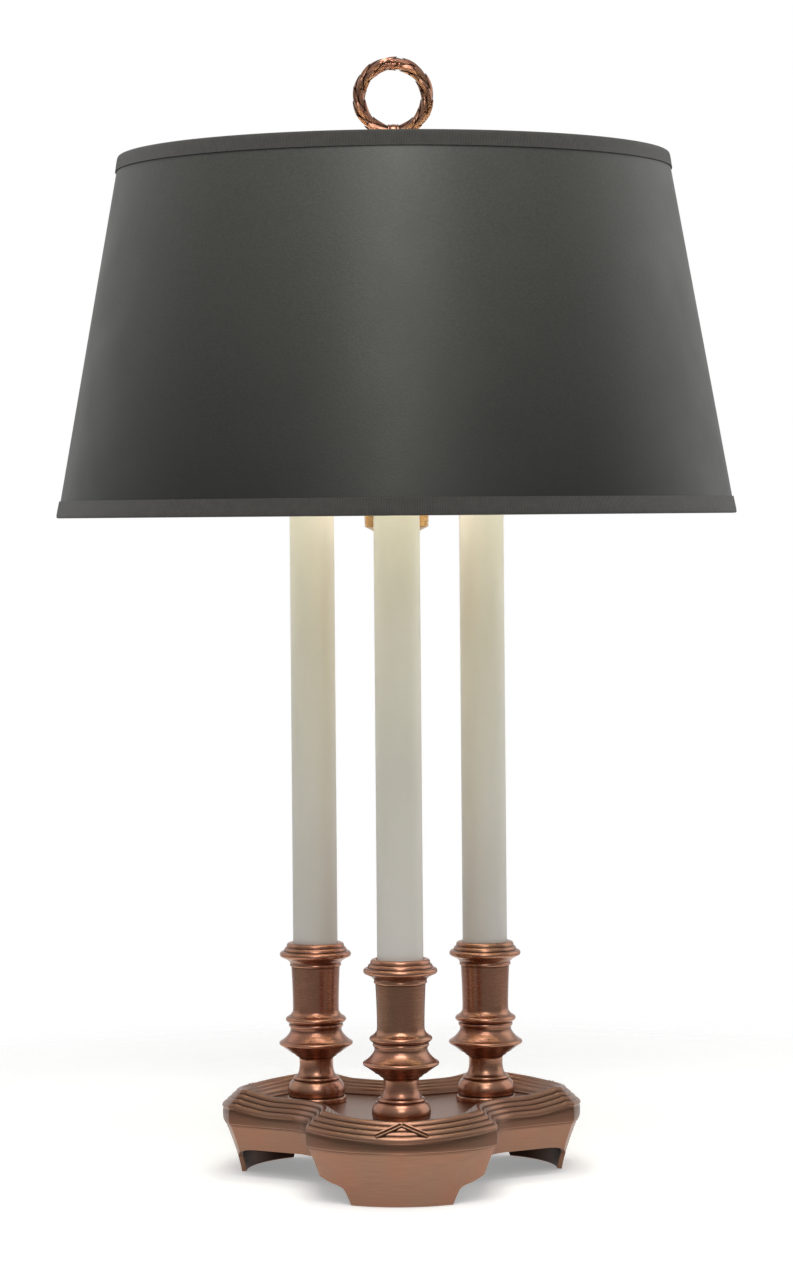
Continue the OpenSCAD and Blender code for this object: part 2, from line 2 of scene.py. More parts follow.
# # A bouillotte lamp
# This lamp has three candlesticks on a three-lobed tray, a cluster of three hidden bulbs and a drum
# shade under a laurel-wreath finial. Its skeleton comes ready made in millimetre-true solids, and this
# lesson dresses it: each visible piece is worked out again as a smooth surface with numpy, at the place
# where its solid is, and gets a finish built from nodes.
# Loading the frame first gives every node by name.

# %% Load the frame
import json
import math
from collections import namedtuple

import bmesh
import bpy
import numpy as np
from mathutils import Matrix, Vector


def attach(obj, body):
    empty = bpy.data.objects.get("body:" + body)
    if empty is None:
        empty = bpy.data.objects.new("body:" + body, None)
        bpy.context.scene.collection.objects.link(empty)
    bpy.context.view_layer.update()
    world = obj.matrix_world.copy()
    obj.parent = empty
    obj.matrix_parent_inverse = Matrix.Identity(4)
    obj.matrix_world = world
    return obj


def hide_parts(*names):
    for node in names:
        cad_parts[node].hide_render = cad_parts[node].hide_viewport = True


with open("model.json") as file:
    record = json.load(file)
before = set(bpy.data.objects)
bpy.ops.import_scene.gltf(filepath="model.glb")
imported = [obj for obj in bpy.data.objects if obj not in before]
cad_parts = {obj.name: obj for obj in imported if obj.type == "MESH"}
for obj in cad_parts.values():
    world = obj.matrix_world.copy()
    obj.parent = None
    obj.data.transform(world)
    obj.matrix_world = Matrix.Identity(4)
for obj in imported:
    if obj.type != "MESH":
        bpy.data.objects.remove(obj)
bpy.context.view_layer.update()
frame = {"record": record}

BODY_OF = {node: body for body, nodes in frame["record"]["behaviour"]["bodies"].items() for node in nodes}

# %% [markdown]
# ## Surfaces as arrays
# A turned or cast piece is a grid: one direction runs along its outline and the other round it. The
# grid can be worked out in one go as an array of points, which is quicker and more exact than
# modelling by hand. A grid here holds its points in millimetres, a pair of distances along the surface
# for the finish to follow, and how deep each point lies in a hollow, for the dark patina. On some
# pieces that value is set instead to paint shade and highlights.

# %% Grids and pieces
Grid = namedtuple("Grid", "points along hollow")
MM = 0.001
WELD_GAP = 0.002 * MM


def side_by_side(*values):
    """Coordinates from arrays and numbers, stretched to one shape."""
    return np.stack(np.broadcast_arrays(*values), -1)


def outward(grid):
    """Turns a closed grid so that its faces point out: the sum of the corner products is its volume."""
    p = grid.points
    a, b, c, d = p[:-1, :-1], p[:-1, 1:], p[1:, 1:], p[1:, :-1]
    volume = np.sum(a * np.cross(b, c)) + np.sum(a * np.cross(c, d))
    return grid if volume > 0 else Grid(*(x[::-1] for x in grid))


def stacked(grids):
    """The points of all grids in metres, and for each grid the four corners of its faces."""
    corners, start = [], 0
    for grid in grids:
        rows, columns = grid.points.shape[:2]
        index = start + np.arange(rows * columns).reshape(rows, columns)
        square = np.stack([index[:-1, :-1], index[:-1, 1:], index[1:, 1:], index[1:, :-1]], -1)
        corners.append(square.reshape(-1, 4))
        start += rows * columns
    return np.concatenate([grid.points.reshape(-1, 3) for grid in grids]) * MM, corners


def weld(mesh):
    """Joins the points at seams and poles, which lie within WELD_GAP of each other."""
    shape = bmesh.new()
    shape.from_mesh(mesh)
    bmesh.ops.remove_doubles(shape, verts=shape.verts, dist=WELD_GAP)
    shape.to_mesh(mesh)
    shape.free()


def add_object(name, data):
    """A new object in the scene."""
    made = bpy.data.objects.new(name, data)
    bpy.context.scene.collection.objects.link(made)
    return made


def piece(name, nodes, parts, crease=38):
    """Joins grids, each with its material, into one mesh that is smooth up to the crease angle in
    degrees, and seats it on the nodes that it dresses."""
    grids = [outward(grid) for grid, material in parts]
    points, corners = stacked(grids)
    materials = list(dict.fromkeys(material for grid, material in parts))
    finish = np.concatenate([np.full(len(c), materials.index(part[1])) for c, part in zip(corners, parts)])
    corners = np.concatenate(corners)
    along = np.concatenate([grid.along.reshape(-1, 2) for grid in grids]) * MM
    hollow = np.concatenate([grid.hollow.ravel() for grid in grids])

    mesh = bpy.data.meshes.new(name)
    mesh.vertices.add(len(points))
    mesh.vertices.foreach_set("co", points.ravel())
    mesh.loops.add(corners.size)
    mesh.loops.foreach_set("vertex_index", corners.ravel())
    mesh.polygons.add(len(corners))
    mesh.polygons.foreach_set("loop_start", np.arange(0, corners.size, 4))
    mesh.polygons.foreach_set("material_index", finish)
    mesh.update(calc_edges=True)
    mesh.uv_layers.new(name="surface").data.foreach_set("uv", along[corners.ravel()].ravel())
    mesh.attributes.new("hollow", "FLOAT", "POINT").data.foreach_set("value", hollow)
    for material in materials:
        mesh.materials.append(material)

    weld(mesh)
    mesh.polygons.foreach_set("use_smooth", np.ones(len(mesh.polygons), bool))
    mesh.set_sharp_from_angle(angle=math.radians(crease))

    made = add_object(name, mesh)
    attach(made, BODY_OF[nodes[0]])
    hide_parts(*nodes)
    print(name, len(mesh.polygons), "faces")
    return made


# %% [markdown]
# ## Outlines
# A turner's outline is a row of curves that meet at crisp corners. A spline through a few measured
# points gives the curves, and a point with a third value of 1 is a corner, where the spline starts
# anew. The same outline tells where dirt and patina stay: where a blurred copy of it lies further out.

# %% Outlines
HOLLOW_REACH, HOLLOW_FULL, EVEN_STEP = 1.0, 0.4, 0.2


def curve(points, step=0.7):
    """A line through points: between corners it is a spline whose slope at each point is that of its
    neighbours' chord, over lengths measured as the square root of the distance."""
    rows = np.array([(tuple(p) + (0,))[:3] for p in points], float)
    corners = [0] + [i for i in range(1, len(rows) - 1) if rows[i, 2]] + [len(rows) - 1]
    line = []
    for first, last in zip(corners, corners[1:]):
        run = rows[first:last + 1, :2]
        chords = np.linalg.norm(np.diff(run, axis=0), axis=1)
        knots = np.concatenate([[0], np.cumsum(np.sqrt(chords))])
        slope = np.gradient(run, knots, axis=0)
        t = np.linspace(0, knots[-1], max(1, math.ceil(chords.sum() / step)) + 1)
        k = np.clip(np.searchsorted(knots, t, side="right") - 1, 0, len(run) - 2)
        h = (knots[k + 1] - knots[k])[:, None]
        x = (t[:, None] - knots[k][:, None]) / h
        line.append((2 * x**3 - 3 * x**2 + 1) * run[k] + (x**3 - 2 * x**2 + x) * h * slope[k]
                    + (3 * x**2 - 2 * x**3) * run[k + 1] + (x**3 - x**2) * h * slope[k + 1])
    return np.concatenate([run[:-1] for run in line[:-1]] + line[-1:])


def lengths(line):
    """Distance along a line at each of its points."""
    return np.concatenate([[0], np.cumsum(np.linalg.norm(np.diff(line, axis=0), axis=1))])


def hollowness(line):
    """How far outside each point its neighbourhood's mean lies, over HOLLOW_FULL: up to 1 in a recess
    and down to -1 on a ridge. The neighbourhood is a bell curve of HOLLOW_REACH along the line."""
    s = lengths(line)
    even = np.linspace(0, s[-1], max(16, int(s[-1] / EVEN_STEP)))
    flat = np.stack([np.interp(even, s, line[:, i]) for i in (0, 1)], -1)
    step = even[1] - even[0]
    width = max(3, int(3 * HOLLOW_REACH / step))
    bell = np.exp(-0.5 * (np.arange(-width, width + 1) * step / HOLLOW_REACH) ** 2)
    padded = np.pad(flat, ((width, width), (0, 0)), mode="edge")
    mean = np.stack([np.convolve(padded[:, i], bell / bell.sum(), mode="valid") for i in (0, 1)], -1)
    slope = np.gradient(flat, axis=0)
    slope /= np.linalg.norm(slope, axis=1)[:, None] + 1e-9
    area = np.sum(line[:-1, 0] * line[1:, 1] - line[1:, 0] * line[:-1, 1])
    out = np.stack([slope[:, 1], -slope[:, 0]], -1) * (1 if area > 0 else -1)
    return np.interp(s, even, np.clip(np.sum((mean - flat) * out, axis=1) / HOLLOW_FULL, -1, 1))


# %% [markdown]
# ## Turning and sweeping
# Two tools make nearly all pieces. One turns an outline round an axis, with a radius that may change
# with the angle, for threads, flutes and hexagons. The other carries a section along a path, for
# wires and straps. Most turned pieces have the same straight hole, a little wider than the lamp pipe.

# %% Turn, sweep and place
PIPE, DRILL_GAP, SLIP = 4.85, 0.25, 0.1
HOLE = PIPE + DRILL_GAP


def turned(line, sides=96, change=None):
    """x = r cos a, y = r sin a, z = h, for the outline's radii r and heights h and all angles a.
    change(a, h, r), where given, returns the new radius."""
    line = np.asarray(line, float)
    a = np.linspace(0, 2 * math.pi, sides + 1)[None, :]
    r, h = line[:, 0][:, None] + 0 * a, line[:, 1][:, None] + 0 * a
    if change is not None:
        r = np.where(r > 1e-6, change(a, h, r), 0)
    points = side_by_side(r * np.cos(a), r * np.sin(a), h)
    points[:, -1] = points[:, 0]
    along = side_by_side(a * np.max(line[:, 0]), lengths(line)[:, None])
    return Grid(points, along, hollowness(line)[:, None] + 0 * r)


def swept(path, section, up, size=None, hollow=None):
    """Each point of the closed section (side, height) is carried along the path, with its height
    along up and its side square to both; size scales the section, and 0 at an end closes it."""
    path, section = np.asarray(path, float), np.asarray(section, float)
    ahead = np.gradient(path, axis=0)
    ahead /= np.linalg.norm(ahead, axis=1)[:, None]
    up = np.broadcast_to(np.asarray(up, float), path.shape)
    side = np.cross(ahead, up)
    side /= np.linalg.norm(side, axis=1)[:, None]
    up = np.cross(side, ahead)
    size = np.ones(len(path)) if size is None else np.asarray(size, float)
    across = section[None, :, 0, None] * side[:, None] + section[None, :, 1, None] * up[:, None]
    points = path[:, None] + size[:, None, None] * across
    s, t = lengths(path)[:, None], lengths(section)[None, :]
    hollow = np.zeros(len(section)) if hollow is None else hollow
    return Grid(points, side_by_side(t, s), hollow[None, :] + 0 * s)


def placed(grid, matrix):
    """The grid turned and moved by a 4 by 4 matrix in millimetres."""
    m = np.array(matrix)
    return Grid(grid.points @ m[:3, :3].T + m[:3, 3], grid.along, grid.hollow)


def raised(z):
    """A move of z millimetres along the axis."""
    return Matrix.Translation((0, 0, z))


def bored(outside, hole=HOLE):
    """An outline, given from its lower end to its upper one, closed by a straight hole."""
    low, high = outside[0][1], outside[-1][1]
    return [(hole, low, 1)] + outside + [(hole, high, 1), (hole, low)]


def turning(name, node, material, line, sides=96, step=0.7, at=Matrix(), change=None, crease=38):
    """A piece that is one turned outline, drawn as a curve in steps of the given length."""
    grid = placed(turned(curve(line, step), sides, change), at)
    piece(name, [node], [(grid, material)], crease)


def circle(radius, count):
    """A closed round section."""
    a = np.linspace(0, 2 * math.pi, count + 1)
    return side_by_side(radius * np.cos(a), radius * np.sin(a))


# %% [markdown]
# ## Finishes
# Each finish starts from the real material: what it is, how its surface was made, and what that gives
# the eye. Colours are written as on a screen and turned to linear light. One helper adds a node with
# its settings and its links, so that a node tree reads as a recipe.

# %% Node helpers
def linear(hex_colour):
    """sRGB to linear: below 0.04045 a 12.92th, above it ((c + 0.055) / 1.055) to the power 2.4."""
    c = np.array([int(hex_colour[i:i + 2], 16) for i in (1, 3, 5)]) / 255
    return tuple(np.where(c <= 0.04045, c / 12.92, ((c + 0.055) / 1.055) ** 2.4)) + (1.0,)


def add_node(tree, kind, inputs, **settings):
    """Adds a node, applies its settings, and fills or links its inputs by name or number."""
    node = tree.nodes.new(kind)
    for key, value in settings.items():
        setattr(node, key, value)
    for key, value in inputs.items():
        if isinstance(value, bpy.types.NodeSocket):
            tree.links.new(value, node.inputs[key])
        else:
            node.inputs[key].default_value = value
    return node


def cleared(owner):
    """The node tree of a material or a world, emptied."""
    owner.use_nodes = True
    owner.node_tree.nodes.clear()
    return owner.node_tree


def finish_of(name, **fixed):
    """A material with its Principled shader, whose fixed sockets are set, and its output."""
    material = bpy.data.materials.new(name)
    tree = cleared(material)
    settings = {key.replace("_", " "): value for key, value in fixed.items()}
    shader = add_node(tree, "ShaderNodeBsdfPrincipled", settings)
    add_node(tree, "ShaderNodeOutputMaterial", {"Surface": shader.outputs[0]})
    return material, tree, shader


def drive(tree, shader, **sockets):
    """Links values to the shader's sockets."""
    for key, value in sockets.items():
        tree.links.new(value, shader.inputs[key.replace("_", " ")])


def on_surface(tree):
    """The distances along the surface."""
    return add_node(tree, "ShaderNodeUVMap", {}, uv_map="surface").outputs[0]


def in_object(tree):
    """The place in the object."""
    return add_node(tree, "ShaderNodeTexCoord", {}).outputs["Object"]


def hollows(tree):
    """How deep a point lies in a hollow, and on some pieces the painted shade and highlights."""
    return add_node(tree, "ShaderNodeAttribute", {}, attribute_name="hollow").outputs["Fac"]


def axes_of(tree, place):
    """The three coordinates of a place, by their letters."""
    return add_node(tree, "ShaderNodeSeparateXYZ", {"Vector": place}).outputs


def noise(tree, vector, size, stretch=(1, 1, 1), detail=3.0):
    """Noise whose grains are about size millimetres, drawn out where stretch is above 1."""
    shrunk = tuple(1 / s for s in stretch)
    drawn_out = add_node(tree, "ShaderNodeMapping", {"Vector": vector, "Scale": shrunk}).outputs[0]
    settings = {"Vector": drawn_out, "Scale": 1 / (size * MM), "Detail": detail}
    return add_node(tree, "ShaderNodeTexNoise", settings).outputs[0]


def ramp(tree, value, *stops):
    """Colours or greys by position, each stop as (position, hex)."""
    node = add_node(tree, "ShaderNodeValToRGB", {"Fac": value})
    while len(node.color_ramp.elements) < len(stops):
        node.color_ramp.elements.new(0.5)
    for element, (position, colour) in zip(node.color_ramp.elements, stops):
        element.position = position
        element.color = linear(colour)
    return node.outputs[0]


def mixed(tree, share, first, second):
    """Two colours, each a socket or as on a screen, mixed by a share."""
    first, second = (linear(colour) if isinstance(colour, str) else colour for colour in (first, second))
    return add_node(tree, "ShaderNodeMix", {0: share, 6: first, 7: second}, data_type="RGBA").outputs[2]


def maths(tree, operation, first, second):
    """One operation on two values."""
    return add_node(tree, "ShaderNodeMath", {0: first, 1: second}, operation=operation).outputs[0]


def sight(tree):
    """The kinds of ray, and 1 where the camera sees the point itself or through glass."""
    rays = add_node(tree, "ShaderNodeLightPath", {}).outputs
    return rays, maths(tree, "MAXIMUM", rays["Is Camera Ray"], rays["Is Transmission Ray"])


def scaled(tree, value, low, high, out_low, out_high):
    """A value moved from one range to another."""
    ends = {"From Min": low, "From Max": high, "To Min": out_low, "To Max": out_high}
    return add_node(tree, "ShaderNodeMapRange", {"Value": value, **ends}).outputs[0]


def bumped(tree, shader, height, depth):
    """Surface relief of a real depth in millimetres."""
    node = add_node(tree, "ShaderNodeBump", {"Height": height, "Strength": 1.0, "Distance": depth * MM})
    drive(tree, shader, Normal=node.outputs[0])


# %% [markdown]
# ### Antique copper-bronze
# The castings are brass under a copper-bronze plating that was brushed satin and darkened in the
# recesses. It is a bare metal, so its colour lives in the reflections. The brushing runs round the
# turned pieces and along the tray's edge, hollows keep a dark brown patina, and ridges are rubbed
# to bright copper. The brushed lines are a third of a millimetre apart and drawn 60 times as long.
# The turned pieces are polished closer than the tray, which is duller and shows more brushing.

# %% Copper-bronze
def copper_bronze(name, mid, worn, dark, roughness, reach, brushing):
    """Two mid tones in clouds, the worn tone on ridges and the dark one in hollows of depth reach,
    and both also where shade and highlights are painted; brushing is the share of the worn tone in
    the brushed lines."""
    material, tree, shader = finish_of(name, Metallic=1.0)
    hollow = hollows(tree)
    cloud = noise(tree, in_object(tree), 26, detail=2.0)
    brush = noise(tree, on_surface(tree), 0.35, stretch=(60, 1, 1), detail=4.0)
    body = mixed(tree, scaled(tree, cloud, 0.35, 0.65, 0, 1), *mid)
    body = mixed(tree, scaled(tree, brush, 0.3, 0.7, 0, brushing), body, worn)
    body = mixed(tree, scaled(tree, hollow, -0.25, -0.9, 0, 0.35), body, worn)
    body = mixed(tree, scaled(tree, hollow, 0.15, reach, 0, 0.9), body, dark)
    grain = scaled(tree, brush, 0.3, 0.7, roughness - 0.04, roughness + 0.05)
    dirt = scaled(tree, hollow, 0.0, 0.8, 0, 0.05)
    drive(tree, shader, Base_Color=body, Roughness=maths(tree, "ADD", dirt, grain))
    bumped(tree, shader, brush, 0.04 * brushing)
    return material


bronze = copper_bronze("antique_copper_bronze", ("#a47360", "#9a745e"), "#c08b6e", "#24150e",
                       roughness=0.27, reach=0.7, brushing=0.22)
cast_bronze = copper_bronze("cast_copper_bronze", ("#8b6351", "#826655"), "#a98069", "#281912",
                            roughness=0.34, reach=1.0, brushing=0.5)

# %% [markdown]
# ### Lacquered brass
# The cluster, its sleeves and sockets are spun and drawn brass under clear lacquer: warm yellow metal
# with faint lines round it and a thin glossy coat.

# %% Brass
def metal(name, light, deep, roughness, coat=0.0):
    """A plain metal with lines round it, lighter and deeper by turns, and stains in its hollows."""
    material, tree, shader = finish_of(name, Metallic=1.0, Coat_Weight=coat, Coat_Roughness=0.12)
    lines = noise(tree, on_surface(tree), 0.3, stretch=(50, 1, 1))
    cloud = noise(tree, in_object(tree), 18)
    colour = mixed(tree, scaled(tree, cloud, 0.35, 0.65, 0, 1), light, deep)
    colour = mixed(tree, scaled(tree, hollows(tree), 0.1, 0.8, 0, 0.6), colour, "#2a1c10")
    rough = scaled(tree, lines, 0.3, 0.7, roughness - 0.05, roughness + 0.06)
    drive(tree, shader, Base_Color=colour, Roughness=rough)
    bumped(tree, shader, lines, 0.012)
    return material


brass = metal("lacquered_brass", "#d9a860", "#bd8844", 0.26, coat=0.4)
nickel = metal("nickelled_brass", "#cfcdc6", "#b4b1aa", 0.22)
zinc = metal("zinc_plated_steel", "#b4b6b6", "#8e9294", 0.36)
wire_coat = metal("coated_steel_wire", "#4a4a48", "#3a3a39", 0.45)

# %% [markdown]
# ### Cast iron
# The weight under the tray is raw grey iron from a sand mould: rough, nearly black, with grains of
# about half a millimetre.

# %% Cast iron
def cast_iron():
    """Two greys in grains of sand, with a few clouds of rust."""
    material, tree, shader = finish_of("sand_cast_iron", Metallic=0.7, Roughness=0.62)
    sand = noise(tree, in_object(tree), 0.6, detail=5.0)
    rust = noise(tree, in_object(tree), 9, detail=4.0)
    colour = mixed(tree, scaled(tree, sand, 0.3, 0.7, 0, 1), "#4c4b4a", "#6b6866")
    colour = mixed(tree, scaled(tree, rust, 0.55, 0.8, 0, 0.5), colour, "#5d4030")
    drive(tree, shader, Base_Color=colour)
    bumped(tree, shader, sand, 0.15)
    return material


iron = cast_iron()

# %% [markdown]
# ### Ivory enamel
# The candle tubes are drawn steel with a smooth satin ivory enamel. It is painted lighter and warmer
# towards the shade and a little greyer towards the cups: painted light from the lit shade above.
# Enamel sprayed on a tube has a faint orange peel about 2 mm across.

# %% Ivory enamel
def ivory_enamel():
    """Three ivories from the cups up to the shade, as painted light, with drawn-out stains."""
    material, tree, shader = finish_of("ivory_enamel", Coat_Weight=0.25, Coat_Roughness=0.3)
    place = in_object(tree)
    rise = scaled(tree, axes_of(tree, place)["Z"], 0.14, 0.41, 0, 1)
    stain = noise(tree, place, 14, stretch=(1, 1, 3))
    # Painted light: lighter and warmer towards the shade above, greyer towards the cups.
    colour = ramp(tree, rise, (0.0, "#c9c5bf"), (0.5, "#dbd7c9"), (1.0, "#f2eddd"))
    colour = mixed(tree, scaled(tree, stain, 0.3, 0.75, 0, 0.10), colour, "#b9b29c")
    drive(tree, shader, Base_Color=colour, Roughness=scaled(tree, stain, 0.3, 0.7, 0.36, 0.46))
    bumped(tree, shader, noise(tree, place, 2.0, detail=1.0), 0.03)
    return material


ivory = ivory_enamel()

# %% [markdown]
# ### Shade paper and tape
# The shade is hardback parchment in charcoal with a satin face, and cream on the inside. Its fibres
# are about a millimetre thick and lie every way. Outside, its colour is darkened towards the bottom
# edge, a painted shade, and its gloss is dulled there. The edges are bound with a ribbed woven tape,
# whose ribs are 0.9 mm apart.

# %% Shade finishes
RIB = 0.9 * MM


def shade_paper(name, base, fleck, roughness, gloss, painted_shade_and_dullness=0.0):
    """Paper with its fibres; towards the bottom edge its colour is darkened, a painted shade, and its gloss
    is dulled.
    """
    material, tree, shader = finish_of(name, Specular_Tint=(1.0, 1.0, 0.93, 1.0))
    place = in_object(tree)
    height = axes_of(tree, place)["Z"]
    fibre = noise(tree, place, 1.1, stretch=(1.6, 1.6, 1), detail=4.0)
    cloud = noise(tree, place, 38)
    colour = mixed(tree, scaled(tree, fibre, 0.35, 0.7, 0, 0.8), base, fleck)
    colour = mixed(tree, scaled(tree, cloud, 0.4, 0.7, 0, 0.18), colour, fleck)
    # Painted shade: darker towards the bottom edge.
    colour = mixed(tree, scaled(tree, height, 0.40, 0.60, painted_shade_and_dullness, 0), colour, "#161614")
    shine = scaled(tree, height, 0.40, 0.60, gloss * (1 - 0.3 * painted_shade_and_dullness), gloss)
    rough = scaled(tree, cloud, 0.3, 0.7, roughness - 0.03, roughness + 0.04)
    drive(tree, shader, Base_Color=colour, Specular_IOR_Level=shine, Roughness=rough)
    bumped(tree, shader, fibre, 0.05)
    return material


def woven_tape():
    """Ribs across the tape and threads along it, half as far apart, darker between them. A wave
    texture repeats every 2 pi / 20 of its scaled length."""
    material, tree, shader = finish_of("woven_shade_tape", Roughness=0.8, Sheen_Weight=0.25,
                                       Sheen_Roughness=0.5)
    surface = on_surface(tree)
    waves = []
    for way, apart in (("X", RIB), ("Y", RIB / 2)):
        settings = {"Vector": surface, "Scale": 2 * math.pi / 20 / apart}
        waves.append(add_node(tree, "ShaderNodeTexWave", settings, bands_direction=way).outputs[1])
    weave = maths(tree, "ADD", *waves)
    colour = mixed(tree, scaled(tree, weave, 0.0, 2.0, 0, 1), "#24231f", "#4c4a45")
    colour = mixed(tree, scaled(tree, noise(tree, surface, 6), 0.4, 0.75, 0, 0.2), colour, "#5d5a53")
    drive(tree, shader, Base_Color=colour)
    bumped(tree, shader, weave, 0.12)
    return material


shade_out = shade_paper("charcoal_parchment", "#3a3b37", "#464742", 0.45, 0.55, painted_shade_and_dullness=0.8)
shade_in = shade_paper("cream_lining", "#e4decb", "#eee9d8", 0.5, 0.5)
tape = woven_tape()

# %% [markdown]
# ### Hidden pieces
# Sockets and bulbs are seen only from below. Fibre card, phenolic, rubber and coated glass are plain
# moulded or pressed stuffs: a base colour, a slow variation and a grain of their own size do.

# %% Plain stuffs
def plain_stuff(name, light, deep, grain, roughness, depth=0.03, **fixed):
    """A moulded or pressed stuff: two close colours in grains of the given size in millimetres."""
    material, tree, shader = finish_of(name, **fixed)
    grains = noise(tree, in_object(tree), grain, detail=4.0)
    cloud = noise(tree, in_object(tree), 12, detail=2.0)
    colour = mixed(tree, scaled(tree, grains, 0.3, 0.7, 0, 1), light, deep)
    rough = scaled(tree, cloud, 0.3, 0.7, roughness - 0.05, roughness + 0.05)
    drive(tree, shader, Base_Color=colour, Roughness=rough)
    bumped(tree, shader, grains, depth)
    return material


card = plain_stuff("vulcanised_fibre", "#d2bd94", "#b99f70", 0.8, 0.75, depth=0.06)
phenolic = plain_stuff("moulded_phenolic", "#2c2825", "#221f1c", 1.2, 0.42)
knob_phenolic = plain_stuff("gloss_phenolic", "#2a2420", "#1d1916", 2.0, 0.2, depth=0.01, Coat_Weight=0.4)
rubber = plain_stuff("moulded_rubber", "#232221", "#1a1918", 0.7, 0.7)
opal = plain_stuff("soft_white_glass", "#f4f1e8", "#ebe7db", 6.0, 0.16, depth=0.005, Coat_Weight=0.6)

# %% [markdown]
# ## The tray
# The base is one hollow casting on a plan of three lobes. Its plan is three straight-sided arms with
# round ends, joined by hollow corners, and every level of it is that plan drawn in by some distance.
# So its surface has two parameters: the place along the plan, and the step along the moulding, which
# gives a distance inwards and a height. The bottom edge is the exception: it rises from three feet
# to an arch between them, so the skirt's rows are stretched to end on it.

# %% Plan of the tray
LOBE_RADIUS, LOBE_REACH, LOBE_HALF, CORNER_RADIUS = 71.5, 42.5, 55.5, 24.0
CORNER_REACH = (LOBE_HALF + CORNER_RADIUS) / math.sin(math.pi / 3)
TOUCH_REACH = CORNER_REACH / 2
MITRE_ROUND = 0.9
CORNER_POINTS, FLANK_POINTS, MITRE_POINTS, TIP_POINTS = 14, 22, 6, 70
LOBE_ANGLES = np.radians([-90, -210, -330])


def arc(middle_v, middle_u, radius, start, end, count):
    """Points (v, u) on an arc, for arrays of centres, radii and angles with one row each."""
    a = start + (end - start) * np.linspace(0, 1, count)[None, :]
    return side_by_side(middle_v + radius * np.cos(a), middle_u + radius * np.sin(a))


def lobe_plan(inset):
    """Half of a lobe, drawn in by inset: hollow corner, flank, rounded mitre and round end, as
    (v out along the lobe, u across it), one row for each inset."""
    d = np.asarray(inset, float)[:, None]
    half, end = LOBE_HALF - d - MITRE_ROUND, LOBE_RADIUS - d - MITRE_ROUND
    mitre_v = LOBE_REACH + np.sqrt(end**2 - half**2)
    mitre_angle = np.arctan2(half, mitre_v - LOBE_REACH)
    level = 0 * d
    corner = arc(TOUCH_REACH + level, LOBE_HALF + CORNER_RADIUS + level, CORNER_RADIUS + d,
                 level + math.radians(240), level + math.radians(270), CORNER_POINTS)
    share = np.linspace(0, 1, FLANK_POINTS)[None, 1:-1]
    flank = side_by_side(TOUCH_REACH + (mitre_v - TOUCH_REACH) * share, LOBE_HALF - d)
    mitre = arc(mitre_v, half, MITRE_ROUND, level + math.pi / 2, mitre_angle, MITRE_POINTS)
    tip = arc(LOBE_REACH + level, level, LOBE_RADIUS - d, mitre_angle, level, TIP_POINTS)[:, 1:]
    return np.concatenate([corner, flank, mitre, tip], axis=1)


def plan(inset):
    """The whole plan, drawn in by each inset, as x and y, with how far across its lobe and how far
    out along it each point lies."""
    half = lobe_plan(inset)
    other = half[:, -2::-1] * [1, -1]
    lobe = np.concatenate([half, other], axis=1)[:, :-1]
    rounds = []
    for angle in LOBE_ANGLES:
        out = np.array([math.cos(angle), math.sin(angle)])
        across = np.array([-math.sin(angle), math.cos(angle)])
        rounds.append(lobe[..., :1] * out + lobe[..., 1:] * across)
    wholes = (np.concatenate(rounds, axis=1), np.tile(lobe[..., 1], (1, 3)), np.tile(lobe[..., 0], (1, 3)))
    return [np.concatenate([whole, whole[:, :1]], axis=1) for whole in wholes]


print("plan columns", plan([0])[0].shape[1])

# %% [markdown]
# The moulding, from the table up: a cove that sweeps out, a fine bead line, an upright fascia and four
# flat reeds that climb to the rim. Inside the rim a slope with three faint reeds goes down to a ledge
# and a small step on the tray's floor. The rim isn't level: it rises to the mitres, where a lobe turns
# into its flank, and sinks again towards the hollow corners. The skirt is three millimetres thick and
# the casting is hollow below.

# %% Moulding of the tray
BEAD_Z, RIM_Z, TRAY_Z, CEILING_Z = 38.0, 49.0, 41.0, 36.0
RIM_WIDTH, REEDS, REED_HALF_ANGLE, SKIRT_FLARE, SKIRT_WALL = 11.0, 4, 50, 11.5, 3.0
COVE_TOP, COVE_IN, COVE_POWER, ARCH_Z, ARCH_BLEND = 31.1, 2.0, 1.35, 17.2, 0.8
TIP_RISE, MITRE_RISE, RISE_LENGTH, RISE_POWER, RISE_FROM, LEDGE_Z = 0.2, 3.7, 30.0, 1.6, 33.0, 42.2
FOOT_OUT, FOOT_SLANT = 41.5, 0.5
FOOT_EDGE = curve([(29.95, 0, 1), (31.2, 4.2), (33.0, 9.3), (35.7, 11.0), (39.0, 12.1), (42.9, 14.3),
                   (48.6, 18.9), (54, 26)])


def skirt_inset(z):
    """How far the cove lies inside the bead: its flare times 1 less a power of the height."""
    return COVE_IN + (SKIRT_FLARE - COVE_IN) * (1 - (np.clip(z, 0, COVE_TOP) / COVE_TOP) ** COVE_POWER)


def edge_height(across, out):
    """Height of the skirt's bottom edge: 0 at a foot and the arch between. The lower of the two
    counts, blended as -log(exp(-k z) + exp(-k arch)) / k."""
    reach = np.abs(across) + FOOT_SLANT * np.clip(LOBE_REACH + FOOT_OUT - out, 0, None)
    z = np.interp(reach, FOOT_EDGE[:, 0], FOOT_EDGE[:, 1], left=0.0)
    return np.maximum(0, -np.log(np.exp(-ARCH_BLEND * z) + np.exp(-ARCH_BLEND * ARCH_Z)) / ARCH_BLEND)


